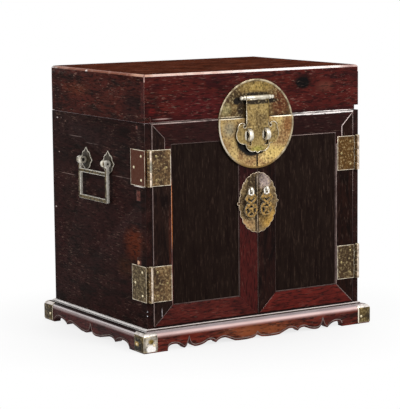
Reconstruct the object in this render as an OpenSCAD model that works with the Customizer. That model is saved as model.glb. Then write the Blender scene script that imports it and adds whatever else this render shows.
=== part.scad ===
/* [Case] */
// Width over the two side boards
case_w = 360; // [340:5:390]
// Depth over the back board
case_d = 275; // [255:5:295]
// Height of the side boards
case_h = 285; // [280:5:310]
// Thickness of a side board
side_t = 9.5; // [9:0.5:11]
// Thickness of the back board
back_t = 9; // [7:0.5:11]
// Thickness of the bottom board
bottom_t = 9; // [7:0.5:12]
// Depth of the tray below the lid's seam
tray_h = 50; // [44:1:54]
// Thickness of the tray's floor
tray_t = 6; // [5:0.5:8]
// Thickness of the board in front of the tray
tray_front_t = 10; // [8:0.5:12]

/* [Lid] */
// Height of the lid
lid_h = 66; // [60:2:76]
// Thickness of the lid's top board
lid_top_t = 10; // [8:0.5:12]
// Thickness of the lid's four walls
lid_wall_t = 9.5; // [8:0.5:11]
// Rounding of the lid's top edges
lid_edge_r = 4; // [2:0.5:6]
// Height of the tongue that laps the lid's lower front corner
lap_h = 7; // [4:0.5:10]
// Gap under the closed lid
lid_gap = 0.3; // [0.2:0.1:0.6]

/* [Plinth] */
// Height of the plinth under the case
plinth_h = 31; // [28:1:36]
// How far the plinth stands out round the case
plinth_out = 12.5; // [11:0.5:15]
// Radius of the plinth's rounded shoulder
shoulder_r = 6; // [4:0.5:7]
// Thickness of the apron
apron_t = 10; // [8:0.5:12]
// Width of a plinth member under the case
plinth_bed = 34; // [28:1:45]
// Length of a flat foot, from the corner
foot_w = 44; // [38:1:52]
// Height of the tall cusps in the aprons
cusp_h = 15; // [11:0.5:16]
// Height of the aprons' arches
arch_h = 8.6; // [6:0.2:10]
// How far the front apron's scallops lie to the left
front_shift = 6; // [0:0.5:8]
// How far the side aprons' scallops lie to the back
side_shift = 5; // [0:0.5:8]
// Length of a corner mount along the front
mount_w = 22; // [18:1:32]
// Length of a corner mount along the side
mount_d = 27; // [18:1:32]

/* [Doors] */
// Thickness of a door's frame
door_t = 12; // [11:0.5:12.5]
// How far the doors stand out of the case
door_proud = 2; // [1:0.5:3]
// Gap at a door's hinge edge and lower edge
door_gap = 0.5; // [0.4:0.1:0.8]
// Gap between the two doors
meet_gap = 0.8; // [0.6:0.1:1.2]
// How far the doors meet to the right of the middle
meet_x = 2; // [0:0.5:2]
// Gap over the doors
top_gap = 0.8; // [0.5:0.1:1.2]
// Width of the hinge stile
stile_w = 30.5; // [28:0.5:34]
// Width of the meeting stile
meet_w = 29.8; // [28:0.2:33]
// Width of the top and bottom rails
rail_w = 29.5; // [26:0.5:34]
// Length of the mitre at a door's upper outer corner
step_in = 21; // [14:1:24]
// Thickness of a door's panel
panel_t = 6; // [4:0.5:7]
// How far the panel lies behind the frame's face
panel_sink = 2.2; // [1.5:0.1:3]
// Depth of the panel's edge in its groove
panel_tongue = 4; // [3:0.5:5]

/* [Hinges] */
// Height of a door hinge
hinge_h = 50; // [40:2:60]
// Length of the leaf on a door's face
front_leaf_w = 29; // [24:1:30]
// Length of the leaf on the side board
side_leaf_w = 38; // [30:1:44]
// Thickness of every hinge leaf
leaf_t = 1.2; // [1:0.1:1.5]
// Radius of a door hinge's knuckle
knuckle_r = 3.6; // [3:0.1:4]
// Radius of a hinge pin
pin_r = 1.5; // [1.2:0.1:1.8]
// Upper hinge's middle below the seam, and the lower one's over the plinth
hinge_inset = 62; // [52:1:75]
// Height of a lid hinge's leaf
lid_leaf_h = 30; // [24:1:36]
// Width of a lid hinge
lid_hinge_w = 44; // [36:2:56]
// Distance of a lid hinge from the middle
lid_hinge_x = 100; // [80:5:130]
// Radius of a nail's head
nail_r = 2; // [1.5:0.1:2.5]

/* [Lock] */
// Radius of the round lock plate
lock_r = 63; // [55:1:66]
// Lock plate's centre below the seam
lock_drop = 10; // [6:1:14]
// Thickness of the brass plates
plate_t = 1.2; // [1:0.1:1.5]
// Width of the lock plate's raised rim
rim_w = 2.5; // [2:0.5:4]
// Height of the rim over the plate
rim_t = 0.6; // [0.4:0.1:1]
// Height of the hasp's bar over the seam
bar_up = 27; // [22:1:32]
// Radius of the hasp's bar
bar_r = 1.9; // [1.5:0.1:2.2]
// Radius of the hasp's rolled eye
roll_r = 3.2; // [2.9:0.1:3.6]
// Width of the hasp's neck
neck_w = 37; // [32:1:42]
// Thickness of the hasp
hasp_t = 1.6; // [1.2:0.1:2]
// Distance of each lock loop from the middle
loop_x = 14.5; // [13:0.5:16]
// Lock loops below the seam
loop_drop = 25.5; // [24:0.5:27]
// Thickness of a lock loop
loop_t = 6; // [5:0.5:7]
// Outer radius of a lock loop
loop_r = 8.8; // [8.2:0.1:8.8]

/* [Pulls] */
// Pull plates' middle below the seam
pull_drop = 122; // [118:1:135]
// Half width of the pull plates
pull_w = 32.5; // [28:0.5:34]
// Half height of the pull plates
pull_h = 43.5; // [40:0.5:50]
// Distance of each pendant from the middle
pendant_x = 13; // [13:0.5:15]
// Pendant's pivot over the pull plate's middle
pendant_up = 19.5; // [17:0.5:24]
// Thickness of a pendant
pendant_t = 2.2; // [1.8:0.1:2.6]

/* [Bails] */
// Distance between the two posts of a bail
post_gap = 65; // [58:1:72]
// How far a bail's middle lies in front of the case's middle
bail_fore = 2; // [0:0.5:6]
// Posts below the seam
post_drop = 64; // [54:1:74]
// Half width of a pointed back plate
leaf_r = 18; // [15:0.5:20]
// Drop of the bail below its posts
bail_drop = 53; // [44:1:60]
// Width of a bail's bar
bail_bar = 5; // [4:0.5:6]
// Thickness of a bail's bar
bail_t = 4.4; // [4:0.2:5]
// Drop of the bail's crossbar below its posts
cross_drop = 15; // [13:0.5:18]

/* [Drawers] */
// Height of the rails between the drawers
drawer_rail_h = 14; // [10:0.5:16]
// Depth of those rails
drawer_rail_d = 10; // [8:0.5:12]
// Lower rail's middle over the bottom board
low_rail = 81.5; // [74:0.5:90]
// Upper rail's middle over the bottom board
high_rail = 175; // [168:0.5:182]
// Drawer fronts behind the doors
drawer_setback = 18; // [17:0.5:22]
// Thickness of the boards beside the drawers
cheek_t = 12; // [12:0.5:16]
// Thickness of the shelves and uprights between the drawers
shelf_t = 7; // [5:0.5:9]
// Thickness of a drawer's front
drawer_front_t = 9; // [7:0.5:11]
// Thickness of a drawer's sides and back
drawer_side_t = 6; // [5:0.5:8]
// Thickness of a drawer's bottom
drawer_bottom_t = 4; // [3:0.5:5]
// Gap at each side of a drawer
drawer_play = 0.8; // [0.5:0.1:1.2]

/* [Hidden] */

$fn = 48;
cut = 1;
joint_play = 0.1;
pin_play = 0.05;
seat_gap = 0.3;

half_w = case_w / 2;
inner_w = half_w - side_t;
front_y = -case_d / 2;
back_y = case_d / 2;
inner_back_y = back_y - back_t;
floor_z = plinth_h;
seam_z = plinth_h + case_h;
lid_z = seam_z + lid_gap;
top_z = seam_z + lid_h;

door_face_y = front_y - door_proud;
door_back_y = door_face_y + door_t;
door_out_x = inner_w - door_gap;
door_low_z = floor_z + door_gap;
door_high_z = seam_z - top_gap;
panel_y = door_face_y + panel_sink;

case_floor_z = floor_z + bottom_t;
tray_top_z = seam_z - tray_h;
tray_low_z = tray_top_z - tray_t;
rail_y = door_back_y + seat_gap + 4.2;
rail_zs = [case_floor_z + low_rail, case_floor_z + high_rail];
tray_tenon_w = 4.5;
tray_tenon_z = seam_z - tray_tenon_w * 1.55;
tray_tenon_y = rail_y + tray_front_t - tray_tenon_w - 0.5;
shelf_y = rail_y + drawer_rail_d;
cheek_x = inner_w - cheek_t;
drawer_y = door_back_y + drawer_setback;
drawer_rest = 2;
drawer_d = inner_back_y - drawer_rest - drawer_y;
drawer_in_x = shelf_t / 2 + drawer_play;
drawer_out_x = cheek_x - drawer_play;
drawer_head = 1.2;
row_low = [case_floor_z, rail_zs[0] + drawer_rail_h / 2, rail_zs[1] + drawer_rail_h / 2];
row_high = [rail_zs[0] - drawer_rail_h / 2, rail_zs[1] - drawer_rail_h / 2, tray_low_z];

hinge_x = half_w - side_t / 2;
hinge_y = front_y - seat_gap - knuckle_r;
hinge_zs = [seam_z - hinge_inset, floor_z + hinge_inset];
front_leaf_x = door_out_x - front_leaf_w;
haunch_z = hinge_zs[0] + hinge_h * 0.3;
side_leaf_y = front_y + side_leaf_w;
knuckle_parts = 5;
knuckle_gap = 0.3;
knuckle_clear = knuckle_r + seat_gap;
pin_head = 0.8;

lid_knuckle_r = 3.2;
lid_hinge_y = back_y + seat_gap + lid_knuckle_r;
lid_hinge_z = seam_z + lid_gap / 2;
lid_knuckle_clear = lid_knuckle_r + seat_gap;

lock_z = seam_z - lock_drop;
lid_plate_y = front_y - plate_t;
door_plate_y = door_face_y - plate_t;
bar_z = seam_z + bar_up;
bar_y = lid_plate_y - seat_gap - roll_r;
bar_eye_t = 3.4;
bar_eye_x = neck_w / 2 + bar_eye_t / 2 + 0.8;
bar_ball_r = roll_r * 0.88;
bar_reach = bar_eye_x + bar_eye_t / 2 + seat_gap + bar_ball_r;
hasp_front_y = bar_y - 1.8;
loop_z = seam_z - loop_drop;
loop_hole_r = loop_r - 3.4;
loop_y = door_plate_y - 2.3;
loop_base = 1.3;
stem_r = 1.5;
stem_depth = 8;
slot_w = loop_t + 1.8;
slot_low = loop_z - loop_r - 5.5;
slot_high = loop_z + loop_r + 1;
lobe_at = [neck_w * 0.61, loop_z + loop_r * 0.08];
lobe_r = neck_w * 0.346;
horn_at = [neck_w * 0.71, loop_z + loop_r * 1.22];
horn_r = neck_w * 0.184;
curl_at = [neck_w * 0.584, loop_z + loop_r * 1.44];
curl_r = neck_w * 0.06;
base_at = [neck_w * 0.21, loop_z - loop_r * 1.25];
base_r = neck_w * 0.335;
hasp_tip_z = loop_z - loop_r * 2.92;

pull_z = seam_z - pull_drop;
pendant_z = pull_z + pendant_up;
eye_r = 4;
eye_hole_r = 2.5;
eye_t = 3.2;
eye_y = door_plate_y - eye_r - 1;

post_z = seam_z - post_drop;
post_y = post_gap / 2;
post_r = 5.6;
post_t = 5;
bail_pin_r = 2.3;
bail_x = half_w + leaf_t + post_r;
bail_half = post_y + post_t / 2 + seat_gap + bail_bar / 2 + 2;
bail_side_y = bail_half + bail_bar / 2;

shoulder_x = plinth_out - shoulder_r;
apron_top_z = plinth_h - 3.5;
shoulder_z = apron_top_z - shoulder_r;
bed_z = plinth_h - 11;
bead_w = 2.6;
groove_w = 1.4;
fillet_x = bead_w + groove_w;
fillet_w = shoulder_x - fillet_x;
fillet_z = apron_top_z + 1.2;
plinth_half_w = half_w + plinth_out;
plinth_half_d = case_d / 2 + plinth_out;
mount_t = 0.8;

wood = "#4a1d16";
dark_wood = "#2a1410";
panel_wood = "#1c100c";
inner_wood = "#6b4428";
brass = "#8c7640";
pale_brass = "#b8ab86";

module both_sides() {
    children();
    mirror([1, 0, 0]) children();
}

module left() {
    mirror([1, 0, 0]) children();
}

// A door's inner edge as a distance from the middle; side is 1 for the right door, -1 for the left
function door_in_x(side) = meet_gap / 2 + side * meet_x;

// A flat outline drawn in X and Z, its front face at y and its thickness t behind it
module upright(y, t) {
    translate([0, y + t, 0]) rotate([90, 0, 0]) linear_extrude(t) children();
}

// A block between two corners
module block(low, high) {
    translate(low) cube(high - low);
}

// A rod along X between two x values
module rod_x(x0, x1, r) {
    translate([x0, 0, 0]) rotate([0, 90, 0]) cylinder(r = r, h = x1 - x0);
}

// A rod along Y between two y values
module rod_y(y0, y1, r) {
    translate([0, y1, 0]) rotate([90, 0, 0]) cylinder(r = r, h = y1 - y0);
}

module nail_head() {
    intersection() {
        translate([0, 0, -nail_r * 0.6]) sphere(r = nail_r * 1.166);
        cylinder(r = nail_r * 2, h = nail_r * 2);
    }
}

// Three nails in a triangle on a plate lying in X and Z, seen from the front
module three_nails(w, h) {
    for (p = [[-w, h], [w, 0], [-w, -h]])
        translate([p[0], 0, p[1]]) rotate([90, 0, 0]) nail_head();
}

// The case

module side_board() {
    color(dark_wood) difference() {
        block([inner_w, front_y, floor_z], [half_w, back_y, seam_z]);
        for (z = rail_zs)
            block([inner_w - cut, rail_y - joint_play, z - drawer_rail_h / 2 - joint_play],
                  [half_w + cut, shelf_y + joint_play, z + drawer_rail_h / 2 + joint_play]);
        block([inner_w - cut, tray_tenon_y - joint_play, tray_tenon_z - tray_tenon_w / 2 - joint_play],
              [half_w + cut, tray_tenon_y + tray_tenon_w + joint_play,
               tray_tenon_z + tray_tenon_w / 2 + joint_play]);
        for (s = [-1, 1]) translate([0, s * post_y - bail_fore, post_z])
            rod_x(inner_w - cut, half_w + cut, stem_r + pin_play);
    }
}

module back_board() {
    color(dark_wood) block([-inner_w, inner_back_y, floor_z], [inner_w, back_y, seam_z]);
}

module bottom_board() {
    color(inner_wood) block([-inner_w, door_back_y + seat_gap, floor_z],
                            [inner_w, inner_back_y, case_floor_z]);
}

module tray_floor() {
    color(inner_wood) block([-inner_w, rail_y, tray_low_z], [inner_w, inner_back_y, tray_top_z]);
}

module tray_front() {
    color(wood) union() {
        block([-inner_w, rail_y, tray_top_z], [inner_w, rail_y + tray_front_t, seam_z - lid_gap]);
        block([-half_w, tray_tenon_y, tray_tenon_z - tray_tenon_w / 2],
              [half_w, tray_tenon_y + tray_tenon_w, tray_tenon_z + tray_tenon_w / 2]);
    }
}

module drawer_rails() {
    color(wood) for (z = rail_zs)
        block([-half_w, rail_y, z - drawer_rail_h / 2], [half_w, shelf_y, z + drawer_rail_h / 2]);
}

module drawer_shelves() {
    color(inner_wood) for (z = rail_zs)
        block([-cheek_x, shelf_y, z + drawer_rail_h / 2 - shelf_t],
              [cheek_x, inner_back_y, z + drawer_rail_h / 2]);
}

// The boards beside the drawers and the dividers between them
module drawer_uprights() {
    color(inner_wood) {
        both_sides() block([cheek_x, shelf_y, case_floor_z], [inner_w, inner_back_y, tray_low_z]);
        for (i = [0:2]) {
            top = i == 2 ? row_high[2] : rail_zs[i] + drawer_rail_h / 2 - shelf_t;
            block([-shelf_t / 2, shelf_y, row_low[i]], [shelf_t / 2, inner_back_y, top]);
        }
    }
}

// The plinth

// Section of a plinth member: x is the distance out of the case, y is the height
module plinth_section() {
    difference() {
        union() {
            translate([plinth_out - plinth_bed, bed_z])
                square([plinth_bed - plinth_out + bead_w, plinth_h - bed_z]);
            translate([0, apron_top_z - shoulder_r])
                square([shoulder_x, shoulder_r]);
            translate([fillet_x, apron_top_z - shoulder_r])
                square([fillet_w, fillet_z - fillet_w / 2 - apron_top_z + shoulder_r]);
            translate([fillet_x + fillet_w / 2, fillet_z - fillet_w / 2]) circle(r = fillet_w / 2);
            translate([shoulder_x, shoulder_z]) circle(r = shoulder_r);
            translate([plinth_out - apron_t, 0]) square([apron_t, shoulder_z]);
            translate([plinth_out - apron_t, bed_z]) square([apron_t - shoulder_r, shoulder_z - bed_z]);
        }
        translate([bead_w, plinth_h]) square([plinth_out, plinth_out]);
        translate([bead_w + groove_w / 2, apron_top_z]) circle(r = groove_w / 2);
        translate([shoulder_x, apron_top_z]) circle(r = groove_w * 0.3);
    }
}

// Points of a smooth stretch from a to b, drawn towards c
function stretch(a, c, b, n = 7) =
    [for (i = [0:n - 1]) let (t = i / n) (1 - t) * (1 - t) * a + 2 * t * (1 - t) * c + t * t * b];

// Points of a chain of stretches; every second knot is drawn towards, not met
function chain(knots) =
    [for (i = [0:2:len(knots) - 3]) each stretch(knots[i], knots[i + 1], knots[i + 2])];

// Lower edge of half the front apron, from its foot to its middle, as distances from the middle
function front_edge(h) = let (f = h - foot_w, c = f - 34.5, low = cusp_h * 0.09)
    chain([
        [f, 0], [f + 1, arch_h], [f - 10, arch_h],
        [f - 19, arch_h], [f - 26, low], [c + 3, low], [c, cusp_h],
        [c - 2, low], [c - 11, low], [c - 22, low], [c - 30, arch_h * 0.75],
        [c - 40, arch_h], [c - 44, arch_h * 0.3], [c - 50, arch_h], [c - 60, arch_h * 0.9],
        [c - 67, arch_h * 0.6], [c - 76, low], [c * 0.2, 0], [c * 0.1, low],
        [c * 0.03, low], [0, cusp_h * 0.5]
    ]);

// Lower edge of half a side apron, from its foot to its middle
function side_edge(h) = let (f = h - foot_w + 8, low = cusp_h * 0.11)
    chain([
        [f, 0], [f - 2, arch_h * 1.1], [f - 18, arch_h * 1.1],
        [f - 34, arch_h], [f - 41, arch_h * 0.3], [f - 46, arch_h], [f - 58, arch_h * 0.85],
        [f - 68, arch_h * 0.6], [f * 0.26, low], [f * 0.1, 0], [f * 0.09, low],
        [f * 0.03, low], [0, cusp_h]
    ]);

module apron_gap(edge, peak, shift) {
    points = concat(
        edge,
        [[0, peak]],
        [for (i = [len(edge) - 1:-1:0]) [-edge[i][0], edge[i][1]]],
        [[-edge[0][0], -cut], [edge[0][0], -cut]]
    );
    translate([-shift, 0]) polygon(points);
}

// A member along X whose outer face looks to -Y, mitred at both ends
module plinth_member(half, other_half, edge, peak, shift) {
    intersection() {
        difference() {
            translate([-half, -other_half + plinth_out, 0]) rotate([90, 0, 90])
                linear_extrude(2 * half) mirror([1, 0]) plinth_section();
            upright(-other_half - cut, apron_t + 2 * cut) apron_gap(edge, peak, shift);
        }
        translate([0, 0, -cut]) linear_extrude(plinth_h + 2 * cut)
            polygon([[-half, -other_half], [half, -other_half],
                     [half - plinth_bed, -other_half + plinth_bed],
                     [-half + plinth_bed, -other_half + plinth_bed]]);
    }
}

module plinth_front() {
    color(wood) plinth_member(plinth_half_w, plinth_half_d,
                              front_edge(plinth_half_w), cusp_h * 0.5, front_shift);
}

module plinth_back() {
    color(wood) rotate([0, 0, 180]) plinth_front();
}

module plinth_sides() {
    color(wood) both_sides() rotate([0, 0, 90])
        plinth_member(plinth_half_d, plinth_half_w, side_edge(plinth_half_d), cusp_h, -side_shift);
}

// Section of a corner mount that lies on the apron and over its shoulder
module mount_section() {
    low = 1.5;
    high = shoulder_z;
    translate([plinth_out, low]) square([mount_t, high - low]);
    intersection() {
        translate([shoulder_x, high]) difference() {
            circle(r = shoulder_r + mount_t);
            circle(r = shoulder_r);
        }
        translate([shoulder_x + shoulder_r * 0.4, high]) square([shoulder_r * 2, shoulder_r * 2]);
    }
}

module mount_leg(half, other_half, w) {
    intersection() {
        translate([half + mount_t - w, -other_half + plinth_out, 0]) rotate([90, 0, 90])
            linear_extrude(w) mirror([1, 0]) mount_section();
        linear_extrude(plinth_h)
            polygon([[half + mount_t, -other_half - mount_t],
                     [half - w, -other_half - mount_t],
                     [half - w, -other_half + w]]);
    }
}

module corner_mount() {
    union() {
        mount_leg(plinth_half_w, plinth_half_d, mount_w);
        mirror([1, 0, 0]) rotate([0, 0, 90]) mirror([1, 0, 0])
            mount_leg(plinth_half_d, plinth_half_w, mount_d);
    }
}

module plinth_corner_mounts() {
    color(brass) both_sides() {
        corner_mount();
        mirror([0, 1, 0]) corner_mount();
    }
}

// Hinges

// The z spans of a knuckle's parts; part 0 and every second one belong to the fixed leaf
function part_low(i, h, n) = -h / 2 + i * h / n + (i == 0 ? 0 : knuckle_gap / 2);
function part_high(i, h, n) = -h / 2 + (i + 1) * h / n - (i == n - 1 ? 0 : knuckle_gap / 2);

module side_leaf() {
    difference() {
        union() {
            block([half_w, front_y - leaf_t, -hinge_h / 2], [half_w + leaf_t, side_leaf_y, hinge_h / 2]);
            block([hinge_x + knuckle_clear, front_y - leaf_t, -hinge_h / 2],
                  [half_w + leaf_t / 2, front_y, hinge_h / 2]);
            for (i = [0:2:knuckle_parts - 1]) {
                low = part_low(i, hinge_h, knuckle_parts);
                high = part_high(i, hinge_h, knuckle_parts);
                translate([hinge_x, hinge_y, low]) cylinder(r = knuckle_r, h = high - low);
                block([hinge_x, front_y - leaf_t, low], [half_w + leaf_t / 2, front_y, high]);
            }
        }
        translate([hinge_x, hinge_y, -hinge_h]) cylinder(r = pin_r + pin_play, h = 2 * hinge_h);
    }
}

module front_leaf() {
    difference() {
        union() {
            block([front_leaf_x, door_face_y - leaf_t, -hinge_h / 2],
                  [hinge_x - knuckle_clear, door_face_y, hinge_h / 2]);
            for (i = [1:2:knuckle_parts - 1]) {
                low = part_low(i, hinge_h, knuckle_parts);
                high = part_high(i, hinge_h, knuckle_parts);
                translate([hinge_x, hinge_y, low]) cylinder(r = knuckle_r, h = high - low);
                block([hinge_x - knuckle_clear - cut, door_face_y - leaf_t, low],
                      [hinge_x, door_face_y, high]);
            }
        }
        translate([hinge_x, hinge_y, -hinge_h]) cylinder(r = pin_r + pin_play, h = 2 * hinge_h);
    }
}

// Leaf of a lid hinge on the back; up = 1 for the lid's leaf, -1 for the case's leaf
module back_leaf(up, first) {
    difference() {
        union() {
            block([-lid_hinge_w / 2, back_y, up > 0 ? lid_knuckle_clear : -lid_leaf_h],
                  [lid_hinge_w / 2, back_y + leaf_t, up > 0 ? lid_leaf_h : -lid_knuckle_clear]);
            for (i = [first:2:2]) {
                low = part_low(i, lid_hinge_w, 3);
                high = part_high(i, lid_hinge_w, 3);
                translate([0, lid_hinge_y, 0]) rod_x(low, high, lid_knuckle_r);
                block([low, back_y + seat_gap, up > 0 ? 0 : -lid_knuckle_clear - cut],
                      [high, back_y + leaf_t, up > 0 ? lid_knuckle_clear + cut : 0]);
            }
        }
        translate([0, lid_hinge_y, 0]) rod_x(-lid_hinge_w, lid_hinge_w, pin_r + pin_play);
    }
}

module case_hinge_leaves() {
    color(brass) both_sides() {
        for (z = hinge_zs) translate([0, 0, z]) side_leaf();
        translate([lid_hinge_x, 0, lid_hinge_z]) back_leaf(-1, 0);
    }
}

module hinge_pins() {
    color(pale_brass) both_sides() {
        for (z = hinge_zs) translate([hinge_x, hinge_y, z - hinge_h / 2]) {
            cylinder(r = pin_r, h = hinge_h);
            translate([0, 0, hinge_h]) cylinder(r = pin_r * 1.7, h = pin_head);
        }
        translate([lid_hinge_x, lid_hinge_y, lid_hinge_z]) {
            rod_x(-lid_hinge_w / 2, lid_hinge_w / 2, pin_r);
            rod_x(lid_hinge_w / 2, lid_hinge_w / 2 + pin_head, pin_r * 1.7);
        }
    }
}

module lid_hinge_leaves() {
    color(brass) both_sides() translate([lid_hinge_x, 0, lid_hinge_z]) back_leaf(1, 1);
}

// The bails and their mounts

// A four-pointed plate whose sides swell in the middle
module leaf_outline() {
    circle(r = leaf_r, $fn = 4);
    for (a = [45:90:315]) rotate(a) translate([leaf_r * 0.5, 0]) circle(r = leaf_r * 0.31);
}

module bail_mount() {
    difference() {
        translate([half_w, 0, 0]) rotate([90, 0, 90]) linear_extrude(leaf_t) leaf_outline();
        rod_x(half_w - cut, half_w + 2 * cut, stem_r + pin_play);
    }
    difference() {
        union() {
            translate([bail_x, 0, 0]) rod_y(-post_t / 2, post_t / 2, post_r - seat_gap);
            rod_x(half_w - side_t, bail_x - bail_pin_r - 1, stem_r);
        }
        translate([bail_x, 0, 0]) rod_y(-post_t, post_t, bail_pin_r + pin_play);
    }
}

module bail_mounts() {
    color(brass) both_sides() for (s = [-1, 1])
        translate([0, s * post_y - bail_fore, post_z]) bail_mount();
}

module bail() {
    color(pale_brass) translate([bail_x, -bail_fore, post_z]) {
        difference() {
            union() {
                block([-bail_t / 2, -bail_side_y, -bail_drop - bail_bar / 2],
                      [bail_t / 2, bail_side_y, 0]);
                for (s = [-1, 1]) translate([0, s * bail_half, 0])
                    rod_y(-bail_bar / 2, bail_bar / 2, post_r - seat_gap);
            }
            block([-bail_t, -bail_half + bail_bar / 2, -bail_drop + bail_bar / 2],
                  [bail_t, bail_half - bail_bar / 2, -cross_drop - bail_bar / 2]);
            block([-bail_t, -bail_half + bail_bar / 2, -cross_drop + bail_bar / 2],
                  [bail_t, bail_half - bail_bar / 2, bail_bar]);
        }
        for (s = [-1, 1])
            translate([0, s * (post_y + bail_half) / 2, 0])
                rod_y(-(bail_half - post_y) / 2 - post_t / 2, (bail_half - post_y) / 2 + post_t / 2,
                      bail_pin_r);
    }
}

// The lid

module lid_top() {
    section_r = lid_edge_r;
    color(wood) intersection() {
        translate([-half_w, 0, 0]) rotate([90, 0, 90]) linear_extrude(case_w)
            rounded_top(case_d, section_r);
        translate([0, back_y, 0]) rotate([90, 0, 0]) linear_extrude(case_d)
            rounded_top(case_w, section_r);
    }
}

module rounded_top(w, r) {
    low = top_z - lid_top_t;
    translate([-w / 2, low]) square([w, lid_top_t - r]);
    translate([-w / 2 + r, low]) square([w - 2 * r, lid_top_t]);
    for (s = [-1, 1]) translate([s * (w / 2 - r), top_z - r]) circle(r = r);
}

module lid_front() {
    color(wood) difference() {
        block([-half_w, front_y, lid_z], [half_w, front_y + lid_wall_t, top_z - lid_top_t]);
        both_sides() block([half_w - side_t, front_y - cut, lid_z - cut],
                           [half_w + cut, front_y + lid_wall_t + cut, lid_z + lap_h]);
        for (s = [-1, 1]) translate([s * bar_eye_x, 0, bar_z])
            rod_y(front_y - cut, front_y + stem_depth - 1, stem_r + pin_play);
    }
}

module lid_back() {
    color(wood) block([-half_w, back_y - lid_wall_t, lid_z], [half_w, back_y, top_z - lid_top_t]);
}

// The right wall has lost its tongue, so its corner is open
module lid_sides() {
    color(wood) {
        both_sides() block([half_w - lid_wall_t, front_y + lid_wall_t, lid_z],
                           [half_w, back_y - lid_wall_t, top_z - lid_top_t]);
        block([-half_w, front_y, lid_z],
              [-half_w + lid_wall_t - joint_play, front_y + lid_wall_t + cut, lid_z + lap_h - joint_play]);
    }
}

// The lock

module lock_disc(low, high, left_x, right_x, y) {
    difference() {
        intersection() {
            translate([0, 0, lock_z]) union() {
                rod_y(y - plate_t, y, lock_r);
                difference() {
                    rod_y(y - plate_t - rim_t, y, lock_r);
                    rod_y(y - plate_t - rim_t - cut, y + cut, lock_r - rim_w);
                }
            }
            block([left_x, y - plate_t - 2 * rim_t, low], [right_x, y + cut, high]);
        }
        children();
    }
}

module lock_plate_lid() {
    color(brass) lock_disc(lid_z, top_z, -case_w, case_w, front_y)
        for (s = [-1, 1]) translate([s * bar_eye_x, 0, bar_z])
            rod_y(front_y - case_d, front_y + cut, stem_r + pin_play);
}

module door_lock_plate(side) {
    color(brass) lock_disc(0, door_high_z, door_in_x(side), case_w, door_face_y)
        translate([loop_x, 0, loop_z]) rod_y(door_face_y - case_d, door_face_y + cut, stem_r + pin_play);
}

// The hasp's bar with its ball ends, and the two eyes that carry it
module hasp_bar() {
    color(pale_brass) translate([0, bar_y, bar_z]) {
        union() {
            rod_x(-bar_reach, bar_reach, bar_r);
            for (s = [-1, 1]) translate([s * bar_reach, 0, 0]) sphere(r = bar_ball_r);
        }
        for (s = [-1, 1]) translate([s * bar_eye_x, 0, 0]) difference() {
            union() {
                rod_x(-bar_eye_t / 2, bar_eye_t / 2, roll_r);
                translate([0, -bar_y, 0]) rod_y(bar_y, front_y + stem_depth - 2, stem_r);
            }
            rod_x(-bar_eye_t, bar_eye_t, bar_r + pin_play);
        }
    }
}

// Outline of the hasp below its roll, in X and Z: a cloud head with two horns and a low tip
module hasp_outline() {
    difference() {
        union() {
            translate([-neck_w / 2, base_at[1]]) square([neck_w, bar_z - base_at[1]]);
            for (s = [-1, 1]) {
                translate([s * lobe_at[0], lobe_at[1]]) circle(r = lobe_r);
                translate([s * horn_at[0], horn_at[1]]) circle(r = horn_r);
                translate([s * base_at[0], base_at[1]]) circle(r = base_r);
            }
            polygon([[-base_at[0], base_at[1]], [-base_at[0] / 2, base_at[1] - base_r * 0.97],
                     [0, hasp_tip_z], [base_at[0] / 2, base_at[1] - base_r * 0.97],
                     [base_at[0], base_at[1]]]);
        }
        for (s = [-1, 1]) {
            translate([s * curl_at[0], curl_at[1]]) circle(r = curl_r);
            translate([s * loop_x - slot_w / 2, slot_low]) square([slot_w, slot_high - slot_low]);
        }
    }
}

module hasp() {
    color(brass) difference() {
        union() {
            upright(hasp_front_y, hasp_t) hasp_outline();
            translate([0, bar_y, bar_z]) rod_x(-neck_w / 2, neck_w / 2, roll_r);
        }
        translate([0, bar_y, bar_z]) rod_x(-neck_w, neck_w, bar_r + pin_play);
    }
}

// The doors, drawn on the right and mirrored for the left; side is 1 or -1

// Room for the panel's edges in the frame
module panel_groove(side) {
    play = joint_play * 2;
    block([door_in_x(side) + meet_w - panel_tongue - 1, panel_y - play,
           door_low_z + rail_w - panel_tongue - 1],
          [door_out_x - stile_w + panel_tongue + 1, panel_y + panel_t + play,
           door_high_z - rail_w + panel_tongue + 1]);
}

module hinge_stile(side) {
    color(dark_wood) difference() {
        upright(door_face_y, door_t) polygon([
            [door_out_x, door_low_z], [door_out_x, door_high_z],
            [door_out_x - step_in, door_high_z - step_in],
            [door_out_x - step_in, haunch_z],
            [door_out_x - stile_w, haunch_z],
            [door_out_x - stile_w, door_low_z + rail_w]]);
        panel_groove(side);
    }
}

module meeting_stile(side) {
    in_x = door_in_x(side);
    color(wood) difference() {
        upright(door_face_y, door_t) polygon([
            [in_x, door_low_z], [in_x + meet_w, door_low_z + rail_w],
            [in_x + meet_w, door_high_z - rail_w], [in_x, door_high_z]]);
        panel_groove(side);
        for (p = [[loop_x, loop_z], [pendant_x, pendant_z]]) translate([p[0], 0, p[1]])
            rod_y(door_face_y - cut, door_face_y + stem_depth + cut, stem_r + pin_play);
    }
}

module door_rails(side) {
    in_x = door_in_x(side);
    color(wood) difference() {
        upright(door_face_y, door_t) {
            polygon([
                [in_x, door_low_z], [door_out_x, door_low_z],
                [door_out_x - stile_w, door_low_z + rail_w], [in_x + meet_w, door_low_z + rail_w]]);
            polygon([
                [in_x, door_high_z], [in_x + meet_w, door_high_z - rail_w],
                [door_out_x - stile_w, door_high_z - rail_w],
                [door_out_x - stile_w, haunch_z], [door_out_x - step_in, haunch_z],
                [door_out_x - step_in, door_high_z - step_in], [door_out_x, door_high_z]]);
        }
        panel_groove(side);
    }
}

module door_panel(side) {
    color(panel_wood)
        block([door_in_x(side) + meet_w - panel_tongue, panel_y, door_low_z + rail_w - panel_tongue],
              [door_out_x - stile_w + panel_tongue, panel_y + panel_t, door_high_z - rail_w + panel_tongue]);
}

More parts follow.
